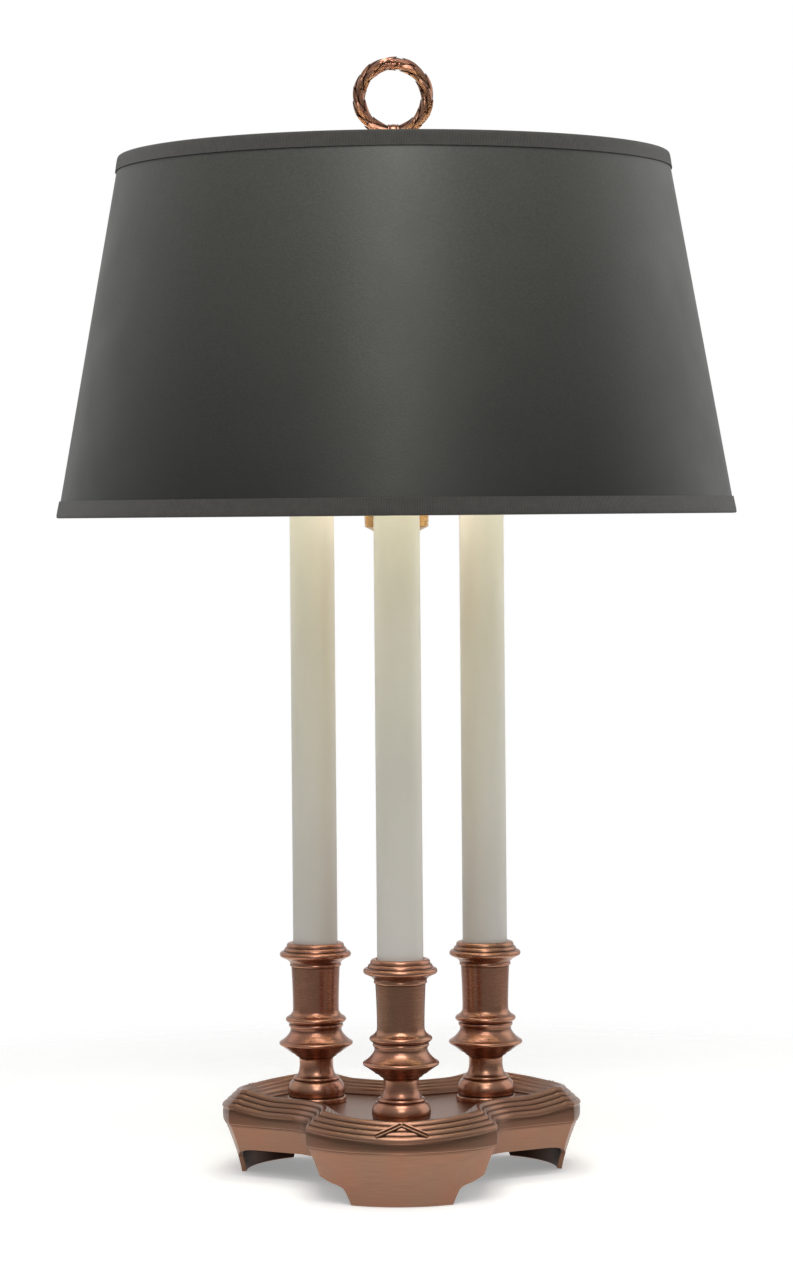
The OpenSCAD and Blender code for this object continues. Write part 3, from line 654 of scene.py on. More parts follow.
def upsweep(across, out):
    """How far the rim rises: most at the mitres, hardly at a lobe's tip and not at all in the
    hollow corners."""
    angle = np.arctan2(np.abs(across), out - LOBE_REACH)
    mitre = math.asin(LOBE_HALF / LOBE_RADIUS)
    tip = TIP_RISE + (MITRE_RISE - TIP_RISE) * np.clip(angle / mitre, 0, 1) ** RISE_POWER
    behind = np.clip((LOBE_REACH + LOBE_RADIUS * math.cos(mitre) - out) / RISE_LENGTH, 0, 1)
    flank = MITRE_RISE * (1 - behind**2 * (3 - 2 * behind))
    return np.where(angle < mitre, tip, flank)


def lifted(inset, z):
    """How much of the rise a point of the moulding takes: none up to the bead and on the floor."""
    outside = np.clip((z - RISE_FROM) / (BEAD_Z - RISE_FROM), 0, 1)
    inside = np.clip((z - LEDGE_Z) / (RIM_Z - LEDGE_Z), 0, 1)
    return np.where(inset < RIM_WIDTH + 0.5, outside, inside)


def reeds():
    """Flat arcs side by side up the slope of the rim."""
    slope = np.array([RIM_WIDTH, RIM_Z - BEAD_Z - 1])
    pitch = np.linalg.norm(slope) / REEDS
    up, out = slope / np.linalg.norm(slope), np.array([-slope[1], slope[0]]) / np.linalg.norm(slope)
    half = math.radians(REED_HALF_ANGLE)
    a = np.linspace(-half, half, 9)
    radius = pitch / 2 / math.sin(half)
    middle = (np.arange(REEDS) + 0.5)[:, None] * pitch
    side = middle + radius * np.sin(a)
    bulge = radius * (np.cos(a) - math.cos(half)) + 0 * middle
    line = side[..., None] * up + bulge[..., None] * out + [0, BEAD_Z + 1]
    return line.reshape(-1, 2)


reed_line = reeds()
rim_out = -reed_line[:, 0].min()
bead_line = curve([(2.0, 31.1, 1), (1.75, 31.2), (1.35, 31.55), (1.45, 31.95, 1)], 0.2)
fascia_line = curve([(1.45, 31.95, 1), (0.75, 32.8), (0.45, 33.8), (0.35, 35.2), (0.35, 37.0),
                     (0.7, 38.0, 1), (0.6, 38.4)], 0.8)[1:]
slope_line = curve([(11.15, 49.0, 1), (11.5, 49.05), (11.9, 48.85, 1), (12.3, 48.25, 1), (13.2, 48.05),
                    (14.1, 47.3, 1), (14.4, 46.65, 1), (15.3, 46.45), (16.3, 45.7, 1), (16.6, 45.05, 1),
                    (17.6, 44.8), (18.6, 43.9, 1), (18.8, 43.3), (19.9, 42.5), (22.4, 42.2, 1),
                    (22.7, 41.9), (22.8, 41.0)], 0.8)
upper = np.concatenate([bead_line, fascia_line, reed_line, slope_line]) + [rim_out, 0]
print("moulding rows", len(upper), "rim stands out", round(rim_out, 2), "mm")

# %% [markdown]
# The whole casting is one closed grid. The skirt's rows crowd towards its edge, and the dark of the
# hollows is worked out once, on the outline at a lobe's tip, for all columns. The fascia gets a
# painted shade, and inside the skirt and under the tray the casting is dark all over.

# %% The casting
MIDDLE_ROWS, SKIRT_ROWS, EDGE_ROWS, INNER_ROWS, UNDER_ROWS = 12, 23, 2, 14, 10
RING_STEP, DEEPEST_INSET, CREASE_CAST, SKIRT_CROWDING = 0.25, 27, 32, 1.2


def base_grid():
    """Rows from the middle of the tray, out over the rim, down the skirt, under its edge, up inside
    and back to the middle below. Each row is an inset and a height for every column of the plan, and
    its place is read off the plans drawn in by every quarter of a millimetre."""
    _, across, out = plan([skirt_inset(5.0) + rim_out])
    edge = edge_height(across, out)
    down = np.linspace(1, 0, SKIRT_ROWS + 1)[1:, None] ** SKIRT_CROWDING
    skirt_z = edge + (COVE_TOP - edge) * down
    inner_z = edge + 0.6 + (CEILING_Z - 3.6 - edge) * np.linspace(0, 1, INNER_ROWS)[:, None]
    foot_in = skirt_inset(edge) + rim_out
    rise = upsweep(across, out)
    levels = [(d, z + rise * lifted(d, z)) for d, z in upper[::-1]]
    levels += [(skirt_inset(z) + rim_out, z) for z in skirt_z[:, None]]
    levels += [(foot_in + 0.4, edge), (foot_in + 2.5, edge)]
    levels += [(skirt_inset(z) + rim_out + SKIRT_WALL, z) for z in inner_z[:, None]]
    levels += [(SKIRT_WALL + 3.2 + rim_out, CEILING_Z - 0.6), (SKIRT_WALL + 5.5 + rim_out, CEILING_Z)]
    inset = np.concatenate([np.broadcast_to(d, edge.shape) for d, z in levels])
    z = np.concatenate([np.broadcast_to(z, edge.shape) for d, z in levels])

    steps = np.arange(0, DEEPEST_INSET, RING_STEP)
    rings = plan(steps)[0]
    below = np.clip((inset / RING_STEP).astype(int), 0, len(steps) - 2)
    share = (inset / RING_STEP - below)[..., None]
    column = np.arange(inset.shape[1])[None, :]
    xy = rings[below, column] * (1 - share) + rings[below + 1, column] * share
    points = np.concatenate([xy, z[..., None]], -1)

    def towards_middle(ring, count):
        flat = ring[None] * np.linspace(1, 0, count + 1)[1:, None, None]
        flat[..., 2] = ring[0, 2]
        return flat

    floor, under = towards_middle(points[0], MIDDLE_ROWS)[::-1], towards_middle(points[-1], UNDER_ROWS)
    points = np.concatenate([floor, points, under])
    first_tip = points[:, points.shape[1] // 6]
    tip = side_by_side(-first_tip[:, 1], first_tip[:, 2])
    round_plan = lengths(plan([0.0])[0][0])
    along = side_by_side(round_plan[None, :], lengths(tip)[:, None])
    hollow = hollowness(tip)
    rim_end = MIDDLE_ROWS + len(upper)
    # Inside the skirt and under the tray the casting is dark all over; the fascia gets a painted shade under
    # the reeds.
    hollow[rim_end + SKIRT_ROWS + EDGE_ROWS:] = 1
    fascia_painted_shade = (upper[::-1, 1] > 32.6) & (upper[::-1, 1] < 38.6)
    hollow[MIDDLE_ROWS:rim_end][fascia_painted_shade] = 0.6
    return Grid(points, along, hollow[:, None] + 0 * points[..., 0])


base = base_grid()
print("base grid", base.points.shape)

# %% [markdown]
# Across the reeds at the tip of each lobe lie two straps that meet a little below the rim's crest.
# Each is a ribbon with two raised edges, carried along a straight way across the reeds with its back
# to the metal. The boss of the cord inlet is a turned disc set inside the hollow corner at the back.

# %% Straps and cord boss
STRAP_SPREAD, STRAP_TOP, STRAP_FOOT, STRAP_LIFT, STRAP_ROWS = 15.4, 7.8, 0.9, 1.7, 40
half_section = [(-1.75, -1.6), (-1.7, 0.3), (-1.35, 0.75), (-0.85, 0.7), (-0.5, 0.05)]
# The listed tones across the section: the strap's sides and foot take the dark tone, patina with painted
# shade that outlines it on the reeds, and its raised edges the rubbed tone.
half_painted_shade_and_wear = [1.0, 0.5, -0.7, -0.5, 1.0]
strap_section = half_section + [(-side, height) for side, height in half_section[::-1]] + half_section[:1]
strap_painted_shade_and_wear = np.array(half_painted_shade_and_wear + half_painted_shade_and_wear[::-1] + half_painted_shade_and_wear[:1])


def strap(lobe_angle, side):
    """From where the two meet, down and out to one side, at the reeds' crests all the way."""
    t = np.linspace(0, 1, STRAP_ROWS)
    across = side * STRAP_SPREAD * t
    inset = STRAP_TOP + (STRAP_FOOT - STRAP_TOP) * t
    out = LOBE_REACH + np.sqrt((LOBE_RADIUS - inset - rim_out) ** 2 - across**2)
    rise = (RIM_Z - BEAD_Z - 1) / RIM_WIDTH
    height = BEAD_Z + 1 + rise * inset + STRAP_LIFT + upsweep(across, out)
    direction = np.arctan2(across, out - LOBE_REACH)
    path = side_by_side(out, across, height)
    up = side_by_side(np.cos(direction) * rise, np.sin(direction) * rise, 1)
    size = np.minimum(1, np.sqrt(np.clip(np.minimum(t, 1 - t) / 0.05, 0, 1)))
    grid = swept(path, strap_section, up, size=size, hollow=strap_painted_shade_and_wear)
    return placed(grid, Matrix.Rotation(lobe_angle, 4, "Z"))


CORD_Z, CORD_FLANGE_Y = 26.0, CORNER_REACH - CORNER_RADIUS - 7.3
BUSHING, FLANGE = 4.8, 6.6
to_back = Matrix.Translation((0, CORD_FLANGE_Y, CORD_Z)) @ Matrix.Rotation(-math.pi / 2, 4, "X")
boss_line = bored([(7.9, -10.5, 1), (8.5, -9.9, 1), (8.5, 0, 1)], 4.9)
casting = piece("tray_casting", ["base_casting"], [(base, cast_bronze)], CREASE_CAST)
piece("rim_straps", ["base_casting"],
      [(strap(angle, side), cast_bronze) for angle in LOBE_ANGLES for side in (1, -1)], CREASE_CAST)
turning("cord_boss", "base_casting", cast_bronze, boss_line, 64, at=to_back)

# %% [markdown]
# The holes are drilled as on the real casting: a cutter of plain rods is taken away with a Boolean,
# for the stem, the three candle rods and the seat of the cord bushing.

# %% Drill the casting
CANDLE_REACH = 59.4
CANDLE_ANGLES = np.radians([-90, 30, 150])
candle_places = [Matrix.Translation((CANDLE_REACH * math.cos(a), CANDLE_REACH * math.sin(a), 0))
                 for a in CANDLE_ANGLES]


def rod(radius, low, high, sides=64):
    """A plain closed rod on the Z axis."""
    return turned([(0, low), (radius, low), (radius, high), (0, high)], sides)


def drill(target, rods):
    """Takes closed rods away from a piece."""
    points, corners = stacked([outward(grid) for grid in rods])
    mesh = bpy.data.meshes.new("drill")
    mesh.from_pydata(points, [], np.concatenate(corners).tolist())
    weld(mesh)
    cutter = add_object("drill", mesh)
    cut = target.modifiers.new("drilled", "BOOLEAN")
    cut.operation, cut.object, cut.solver = "DIFFERENCE", cutter, "EXACT"
    with bpy.context.temp_override(object=target, active_object=target):
        bpy.ops.object.modifier_apply(modifier=cut.name)
    bpy.data.objects.remove(cutter)
    target.data.set_sharp_from_angle(angle=math.radians(CREASE_CAST))


floor_drill = rod(PIPE + DRILL_GAP, CEILING_Z - 1, TRAY_Z + 1)
seat_drill = turned([(0, -12), (BUSHING + SLIP, -12), (BUSHING + SLIP, 0), (FLANGE + SLIP, 0),
                     (FLANGE + SLIP, 8), (0, 8)], 64)
holes = [placed(floor_drill, place) for place in [Matrix()] + candle_places]
drill(casting, holes + [placed(seat_drill, to_back)])
print("drilled casting", len(casting.data.polygons), "faces")

# %% [markdown]
# ## Candlesticks
# Each candlestick is three turnings on one rod: a foot with a swelling body, a knop with a broad
# disc, and a cup with a flange. Their outlines are read from the real ones in millimetres, with crisp
# fillets between the soft swellings, and the cup is bored out for the tube.

# %% Candlesticks
FOOT_Z, KNOP_Z, CUP_Z, CREASE_TURNED = 41.0, 66.0, 95.0, 34
foot_line = bored([(17.7, 0, 1), (18.0, 0.3), (18.0, 2.6), (17.7, 3.1, 1), (16.9, 3.3, 1), (16.8, 3.7),
                   (17.15, 5.0), (17.3, 6.7), (17.0, 8.9), (16.2, 11.0), (15.1, 12.6), (14.3, 13.2, 1),
                   (13.8, 13.3, 1), (14.05, 13.9), (13.75, 14.9), (12.9, 15.5, 1), (12.4, 15.6, 1),
                   (11.5, 16.6), (10.8, 18.1), (10.35, 20.2), (10.2, 22.6), (10.25, 25, 1)])
knop_line = bored([(10.25, 0, 1), (10.35, 1.0), (10.8, 1.9), (11.7, 2.6, 1), (12.2, 2.7), (12.7, 3.3, 1),
                   (13.6, 4.1), (14.6, 4.8, 1), (15.3, 4.9), (15.8, 5.4, 1), (17.4, 6.6), (19.6, 8.1),
                   (21.2, 9.2, 1), (21.9, 9.5), (22.3, 10.3), (22.2, 11.1), (21.6, 11.7, 1), (20.6, 12.2),
                   (19.1, 13.4), (17.5, 15.0), (16.2, 16.7), (15.6, 18.0), (15.5, 19.2), (15.8, 20.3, 1),
                   (16.2, 20.5), (16.5, 21.3), (16.3, 22.1), (16.1, 22.4, 1), (16.5, 22.8), (17.6, 23.6),
                   (18.3, 24.5), (18.3, 25.3), (17.7, 26.2), (16.8, 26.8, 1), (16.2, 27.1), (15.2, 28.0),
                   (14.5, 29, 1)])
cup_line = bored([(14.3, 0, 1), (14.0, 1.2), (14.1, 14), (14.7, 28.0, 1), (15.3, 28.2), (15.6, 28.9),
                  (15.4, 29.6, 1), (15.3, 29.9), (15.9, 30.9), (17.1, 32.0), (18.9, 33.0), (20.5, 33.7, 1),
                  (21.2, 34.1), (21.6, 35.1), (21.5, 36.1), (20.8, 36.9), (19.9, 37.3, 1), (19.2, 37.4, 1),
                  (19.0, 37.8), (18.8, 38.7), (18.2, 39.4), (17.6, 39.7, 1), (17.5, 40.0), (17.4, 41.0),
                  (16.9, 41.9), (15.7, 42.4), (14.4, 42.3), (13.6, 41.7, 1), (13.6, 32, 1)])
candlestick_parts = (("foot", foot_line, FOOT_Z), ("knop", knop_line, KNOP_Z), ("cup", cup_line, CUP_Z))
for k, place in enumerate(candle_places, 1):
    for part, line, z in candlestick_parts:
        turning(f"candlestick_{part}_{k}", f"candle_{part}_{k}", bronze, line, 112,
                0.55, place @ raised(z), crease=CREASE_TURNED)

# %% [markdown]
# ## Candle tubes, caps, rods and nuts
# The tubes stand in the cups and end inside the shade under a brass cap, which a threaded rod and a
# hexagon nut pull down. Threads are M10 by 1 mm: the radius falls by a triangle wave of the height less
# the turn, so the ridge climbs one pitch in a turn. Only the ends that show carry it.

# %% Tubes and fastenings
CANDLE_TOP, NUT_FLATS, NUT_HEIGHT, CHAMFER = 430.0, 14.0, 4.5, 0.75
BORE, THREAD_PITCH, THREAD_DEPTH = 3.5, 1.0, 0.45
tube_line = [(12.3, 127.3), (12.6, 127, 1), (13.3, 127, 1), (13.5, 127.2, 1), (13.5, 429.7, 1),
             (13.2, 430, 1), (12.5, 430, 1), (12.3, 429.8, 1), (12.3, 127.3)]
cap_line = bored([(11.7, -5, 1), (12.2, -4.5, 1), (12.2, 0, 1), (13.2, 0, 1), (13.5, 0.3), (13.5, 1.7),
                  (13.2, 2.2), (12.4, 2.9), (10.6, 3.6), (8.6, 4.0, 1)])


def climb(a, h, pitch):
    """Height in pitches less angle in turns, which stays the same along a thread."""
    return h / pitch - a / (2 * math.pi)


def triangle(turns):
    """A wave that falls from 1 to 0 and rises again once in a turn."""
    return np.abs((turns % 1) * 2 - 1)


def between(h, low, high, run):
    """1 between two heights, fading to 0 at each of them over the given run."""
    return np.clip(np.minimum(h - low, high - h) / run, 0, 1)


def thread(low, high):
    """A change for turned that cuts the thread into the outside between two heights."""
    def change(a, h, r):
        cut = between(h, low, high, THREAD_PITCH) * (r > BORE + 0.2)
        return r - THREAD_DEPTH * triangle(climb(a, h, THREAD_PITCH)) * cut
    return change


def pipe_line(low, high, fine=()):
    """A pipe's closed outline, with rows a fifth of a pitch apart in the fine stretches."""
    up = np.unique(np.concatenate([[low, high]] + [np.arange(a, b, THREAD_PITCH / 5) for a, b in fine]))
    return np.concatenate([[[BORE, low]], side_by_side(PIPE, up), [[BORE, high], [BORE, low]]])


def hexagon(height, hole):
    """A nut: its radius is that of the flats over the cosine of the angle off a flat, but never
    outside a cone that chamfers both ends."""
    half, corner = NUT_FLATS / 2, NUT_FLATS / 2 / math.cos(math.pi / 6)
    line = curve(bored([(half - 0.2, 0, 1), (corner, CHAMFER, 1), (corner, height - CHAMFER, 1),
                        (half - 0.2, height, 1)], hole), 0.4)

    def change(a, h, r):
        off = (a + math.pi / 6) % (math.pi / 3) - math.pi / 6
        flat = half / np.cos(off)
        return np.where(r > hole + 0.1, np.minimum(r, flat), r)
    return turned(line, 96, change)


CAP_HEIGHT, THREADED, ROD_END = 4, 9, 3
ROD_LOW, ROD_HIGH = CEILING_Z - NUT_HEIGHT - ROD_END, CANDLE_TOP + CAP_HEIGHT + NUT_HEIGHT + 1
rod_line = pipe_line(ROD_LOW, ROD_HIGH, [(ROD_LOW, ROD_LOW + THREADED), (ROD_HIGH - THREADED, ROD_HIGH)])
rod_grid = turned(rod_line, 48, thread(ROD_LOW, ROD_HIGH))
nut = hexagon(NUT_HEIGHT, PIPE + SLIP)
nut_heights = (CEILING_Z - NUT_HEIGHT, CANDLE_TOP + CAP_HEIGHT)
for k, place in enumerate(candle_places, 1):
    turning(f"candle_tube_{k}_sleeve", f"candle_tube_{k}", ivory, tube_line, 128, 12, place)
    turning(f"candle_cap_{k}_turned", f"candle_cap_{k}", brass, cap_line, 80, 0.8,
            place @ raised(CANDLE_TOP))
piece("candle_rods_threaded", ["candle_rods"],
      [(placed(rod_grid, place), zinc) for place in candle_places])
piece("candle_nuts_hexagon", ["candle_nuts"],
      [(placed(nut, place @ raised(z)), zinc) for place in candle_places for z in nut_heights])

# %% [markdown]
# ## Stem and weight
# Lamp pipe runs from a nut under the iron weight up to the shade's seat. Above the tray it wears a
# turned ring and a brass sleeve, and between the cluster and the seat a second sleeve.

# %% Stem and weight
CLUSTER_Z, COVER_Z, SEAT_Z = 385.2, 412.2, 596.0
WEIGHT_Z, WASHER_Z = CEILING_Z - 6, CEILING_Z - 8
STEM_NUT_Z = WASHER_Z - NUT_HEIGHT
weight_line = bored([(45.5, WEIGHT_Z, 1), (46.8, WEIGHT_Z + 0.8), (47, WEIGHT_Z + 2.4),
                     (46.6, CEILING_Z, 1)])
washer_line = bored([(13.4, WASHER_Z, 1), (14, WASHER_Z + 0.5), (14, WEIGHT_Z - 0.3), (13.7, WEIGHT_Z, 1)])
collar_line = bored([(11.7, 41, 1), (12, 41.4), (11.9, 42.9, 1), (11.2, 43.2, 1), (11.1, 43.8),
                     (10.9, 44.4), (9.7, 45.1), (9.2, 46.0), (9.0, 47, 1)])
stem_low = STEM_NUT_Z - ROD_END
stem_line = pipe_line(stem_low, SEAT_Z + 2, [(stem_low, stem_low + THREADED)])
stem_pipe = turned(stem_line, 48, thread(stem_low, stem_low + THREADED))
turning("weight_cast", "weight", iron, weight_line, 128, 2.0)
turning("stem_washer_plate", "stem_washer", zinc, washer_line, 72, 1.5)
piece("stem_nut_hexagon", ["stem_nut"], [(placed(nut, raised(STEM_NUT_Z)), zinc)])
piece("stem_pipe_threaded", ["stem_pipe"], [(stem_pipe, zinc)])
turning("stem_collar_ring", "stem_collar", brass, collar_line)
for node, low, high in (("stem_sleeve", 47, CLUSTER_Z), ("upper_sleeve", 418.2, SEAT_Z)):
    sleeve_line = bored([(6.8, low, 1), (7, low + 0.3, 1), (7, high - 0.3, 1), (6.8, high, 1)])
    turning(f"{node}_tube", node, brass, sleeve_line, 72, 12)
bushing_line = [(3.7, -10.5), (4.6, -10.5, 1), (4.8, -10.2, 1), (4.8, 0, 1), (6.4, 0, 1), (6.6, 0.3),
                (6.5, 1.2), (5.9, 1.8), (4.9, 2.0), (3.9, 1.7), (3.2, 0.8), (3.2, -9.8), (3.7, -10.5)]
turning("cord_bushing_moulded", "cord_bushing", rubber, bushing_line, 64, 0.35, to_back)

# %% [markdown]
# ## Cluster and sockets
# The cluster body is a spun brass cup whose lower end shows just under the shade. Three nipples screw
# into it at 45 degrees and carry the sockets: a domed cap, a shell with a beaded mouth, a card liner,
# a phenolic core with the switch and a screw shell. All are turned about the socket's own axis and
# then placed on it.

# %% Cluster
cluster_line = bored([(10.8, 0, 1), (11.4, 0.2, 1), (18.5, 3.8, 1), (18.9, 4.1), (19.05, 4.8),
                      (19.05, 26.6), (18.7, 27, 1), (16.6, 27, 1), (16.6, 3.2, 1)])
cover_line = bored([(18.7, 0, 1), (19.05, 0.4), (19.05, 1.6), (18.6, 2.2, 1), (17.9, 2.4, 1), (17.2, 3.2),
                    (15.2, 4.1), (12.6, 4.7), (10.4, 5.3, 1), (8.9, 5.4), (8.5, 6, 1)])
for part, line, z in (("body", cluster_line, CLUSTER_Z), ("cover", cover_line, COVER_Z)):
    turning(f"cluster_{part}_spun", f"cluster_{part}", brass, line, 112, at=raised(z))

# %% [markdown]
# Each socket's own axis is its Z axis, with zero where it crosses the stem's axis. One matrix for each
# socket stands that axis up at 45 degrees and turns it to its place round the stem.

# %% Sockets
SOCKET_Z, SOCKET_RISE, SOCKET_REACH = 382.35, math.radians(45), 38.0
SCREW_T, KNOB_T, BULB_T = 63.0, 57.2, 64.0
SOCKET_ANGLES = np.radians([90, 210, 330])
NIPPLE_T, NIPPLE_END = 19.05 / math.cos(SOCKET_RISE) - 3, 45.0
socket_places = [Matrix.Rotation(a, 4, "Z") @ raised(SOCKET_Z)
                 @ Matrix.Rotation(math.pi / 2 - SOCKET_RISE, 4, "Y") for a in SOCKET_ANGLES]
socket_cap_line = bored([(6.6, 0, 1), (7.1, 0.3), (7.6, 1.2), (10.4, 1.7), (14.0, 2.9), (16.1, 4.4),
                         (16.7, 5.6, 1), (17.2, 5.8), (17.2, 7.0), (16.9, 7.3, 1), (17.2, 7.8),
                         (17.2, 14.4), (16.9, 15, 1), (16.35, 15, 1), (16.3, 8.0, 1), (9.8, 7.9, 1),
                         (9.6, 7.0, 1)], 4.95)
shell_line = [(15.6, 46, 1), (16.2, 46, 1), (16.2, 66), (16.2, 70, 1), (16.6, 70.3), (16.7, 70.8),
              (16.6, 71.3), (16.2, 71.6, 1), (16.2, 84.4, 1), (16.3, 85.6), (16.7, 86.2, 1), (17.1, 86.4),
              (17.2, 87.1), (17.0, 87.8), (16.5, 88, 1), (15.8, 87.8), (15.6, 87.0), (15.6, 46)]
liner_line = [(14.8, 47), (15.5, 47), (15.5, 86), (14.8, 86), (14.8, 47)]
core_line = [(0, 47, 1), (13.9, 47, 1), (14.7, 47.8, 1), (14.7, 62.2, 1), (13.9, 63, 1), (0, 63)]
SCREW_PITCH, SCREW_LENGTH, SCREW_RADIUS, SCREW_WALL, SCREW_WAVE, RUN_OUT = 3.63, 23, 13.76, 0.6, 0.25, 1.5


def rolled(low, high):
    """A thin wall rolled into a round-bottomed thread: both faces follow the same cosine of the
    height less the turn."""
    up = np.linspace(low, high, 100)
    outer = side_by_side(SCREW_RADIUS, up)
    line = np.concatenate([outer, outer[::-1] - [SCREW_WALL, 0], outer[:1]])

    def change(a, h, r):
        wave = 1 + np.cos(2 * math.pi * climb(a, h, SCREW_PITCH))
        return r + SCREW_WAVE * between(h, low, high, RUN_OUT) * wave
    return turned(line, 64, change)


def threaded_nipple():
    """A short threaded pipe from the cluster body into the socket's cap."""
    up = np.arange(NIPPLE_T, NIPPLE_END, THREAD_PITCH / 4)
    low, high = [BORE, up[0]], [BORE, up[-1]]
    line = np.concatenate([[low], side_by_side(PIPE, up), [high, low]])
    return turned(line, 48, thread(NIPPLE_T, NIPPLE_END))


def at_sockets(grid, material):
    """The parts of a piece that has the same grid on each socket."""
    return [(placed(grid, place), material) for place in socket_places]


for k, place in enumerate(socket_places, 1):
    turning(f"socket_cap_{k}_spun", f"socket_cap_{k}", brass, socket_cap_line,
            at=place @ raised(SOCKET_REACH))
    turning(f"socket_shell_{k}_drawn", f"socket_shell_{k}", brass, shell_line, at=place)
piece("socket_nipples_threaded", ["socket_nipples"], at_sockets(threaded_nipple(), brass))
piece("socket_liners_card", ["socket_liners"], at_sockets(turned(liner_line, 72), card))
piece("socket_cores_moulded", ["socket_cores"],
      at_sockets(turned(curve(core_line, 2), 72), phenolic))
piece("screw_shells_rolled", ["screw_shells"],
      at_sockets(rolled(SCREW_T, SCREW_T + SCREW_LENGTH), nickel))

# %% [markdown]
# The turn knob comes out of the shell's underside. Its twelve flutes are cosine scallops cut out of the
# radius, which fade towards the two ends. The bulb is a screw base with a glass pear: its outline is
# a neck, a cone and most of a ball, one millimetre thick.

# %% Knobs and bulbs
KNOB_LOW, KNOB_LENGTH, FLUTES, FLUTE_DEPTH, ROLLED_DEPTH = 19.7, 13.0, 12, 0.35, 0.35
BULB_RADIUS, BULB_LENGTH, BASE_LENGTH, CREASE_FINE = 30.0, 110.0, 25.0, 45
knob_line = [(0, 7.6, 1), (2.0, 7.6, 1), (2.2, 7.9, 1), (2.2, 19.7, 1), (5.0, 19.7, 1), (5.5, 20.2),
             (5.5, 31.2), (5.1, 32.2), (4.0, 32.7, 1), (3.4, 32.4), (2.0, 32.2), (0, 32.2)]


def flutes(a, h, r):
    """The radius less a scallop round the grip, deepest halfway along."""
    grip = between(h, KNOB_LOW + 1.5, KNOB_LOW + KNOB_LENGTH - 0.8, 2) * (r > 4.5)
    return r - FLUTE_DEPTH * grip * (1 - np.cos(FLUTES * a)) / 2


def base_thread(a, h, r):
    """Rolled thread on the screw base, inwards from its radius."""
    outside = between(h, 5.5, 20.5, RUN_OUT) * (r > 11)
    return r - ROLLED_DEPTH * outside * (1 - np.cos(2 * math.pi * climb(a, h, SCREW_PITCH)))


def bulb_glass_line():
    """Outside and inside of the glass: a neck that opens as a smooth S into a ball."""
    ball = np.radians(np.linspace(-38, 90, 40))
    middle = BULB_LENGTH - BULB_RADIUS
    neck = curve([(12.7, BASE_LENGTH), (13.4, 31), (16.4, 43), (20.6, 54), (23.64, 61.53)], 1.2)
    globe = side_by_side(BULB_RADIUS * np.cos(ball), middle + BULB_RADIUS * np.sin(ball))
    outer = np.concatenate([neck[:-1], globe])
    outer[-1, 0] = 0
    inner = outer[::-1] - side_by_side(np.where(outer[::-1, 0] > 0, 1.0, 0), 0)
    inner[0, 1] -= 1.0
    inner[1:6, 1] -= np.linspace(0.95, 0.5, 5)
    return np.concatenate([outer, np.maximum(inner, 0), outer[:1]])


base_line = [(0, 0, 1), (3.6, 0, 1), (4.4, 0.4), (4.9, 1.4, 1), (9.6, 3.7, 1), (10.6, 4.0), (12.4, 4.5),
             (13.1, 5.4), (13.1, 24.4), (12.9, 25, 1), (11.5, 25, 1), (11.5, 7.5, 1), (0, 7.5)]
for k, place in enumerate(socket_places, 1):
    turn = place @ raised(KNOB_T) @ Matrix.Rotation(math.pi / 2, 4, "Y")
    turning(f"switch_knob_{k}_fluted", f"switch_knob_{k}", knob_phenolic, knob_line, 96,
            0.5, turn, flutes, CREASE_FINE)
    seat = place @ raised(BULB_T)
    turning(f"bulb_base_{k}_rolled", f"bulb_base_{k}", nickel, base_line, 64, 0.5, seat,
            base_thread, CREASE_FINE)
    piece(f"bulb_glass_{k}_blown", [f"bulb_glass_{k}"],
          [(placed(turned(bulb_glass_line(), 96), seat), opal)])
print("sockets dressed", len(socket_places))

# %% [markdown]
# ## The shade
# A hardback shade is a strip of laminate rolled into a cone, charcoal paper outside and cream lining
# inside, with a lapped seam at the back. Two wires keep it round, and a woven tape is folded over each
# edge and wire. All of it is turned, and every radius is read off the cone's slope.

# %% Shade
SHADE_LOW, SHADE_HIGH, SHADE_RADIUS, SHADE_TOP_RADIUS, EDGE_TO_WIRE = 396.0, 611.0, 203.2, 165.0, 2.4
SHADE_LEAN = (SHADE_RADIUS - SHADE_TOP_RADIUS) / (SHADE_HIGH - SHADE_LOW)
TAPE_WALL, PANEL_IN, PANEL_WALL, WIRE, WIRE_IN, TAPE_IN = 0.8, 0.9, 1.2, 1.5, 3.7235, 5.347
TOP_WIRE_Z, LOW_WIRE_Z = SHADE_HIGH - EDGE_TO_WIRE, SHADE_LOW + EDGE_TO_WIRE
PANEL_SIDES, LINING_SIDES, TAPE_SIDES, WIRE_SIDES, CREASE_TAPE = 720, 360, 288, 192, 55
LINING, GLUE, SEAM_ANGLE, SEAM_HALF, SEAM_STEP = 0.8, 0.02, math.pi / 2, math.radians(1.8), 0.35


def shade_r(z):
    """The shade's radius at a height: it loses the lean for every millimetre upwards."""
    return SHADE_RADIUS - SHADE_LEAN * (z - SHADE_LOW)


def cone_layer(outer, inner):
    """A closed conical layer between two insets."""
    low, high = SHADE_LOW + TAPE_WALL, SHADE_HIGH - TAPE_WALL
    up = np.linspace(low, high, 12)
    face = side_by_side(shade_r(up) - outer, up)
    back = side_by_side(shade_r(up) - inner, up)[::-1]
    return np.concatenate([face, back, face[:1]])


def lapped(a, h, r):
    """The outer layer stands a little proud over the lapped seam."""
    return r + SEAM_STEP * (np.abs(a - SEAM_ANGLE) < SEAM_HALF) * (r > shade_r(h) - PANEL_IN - 0.05)


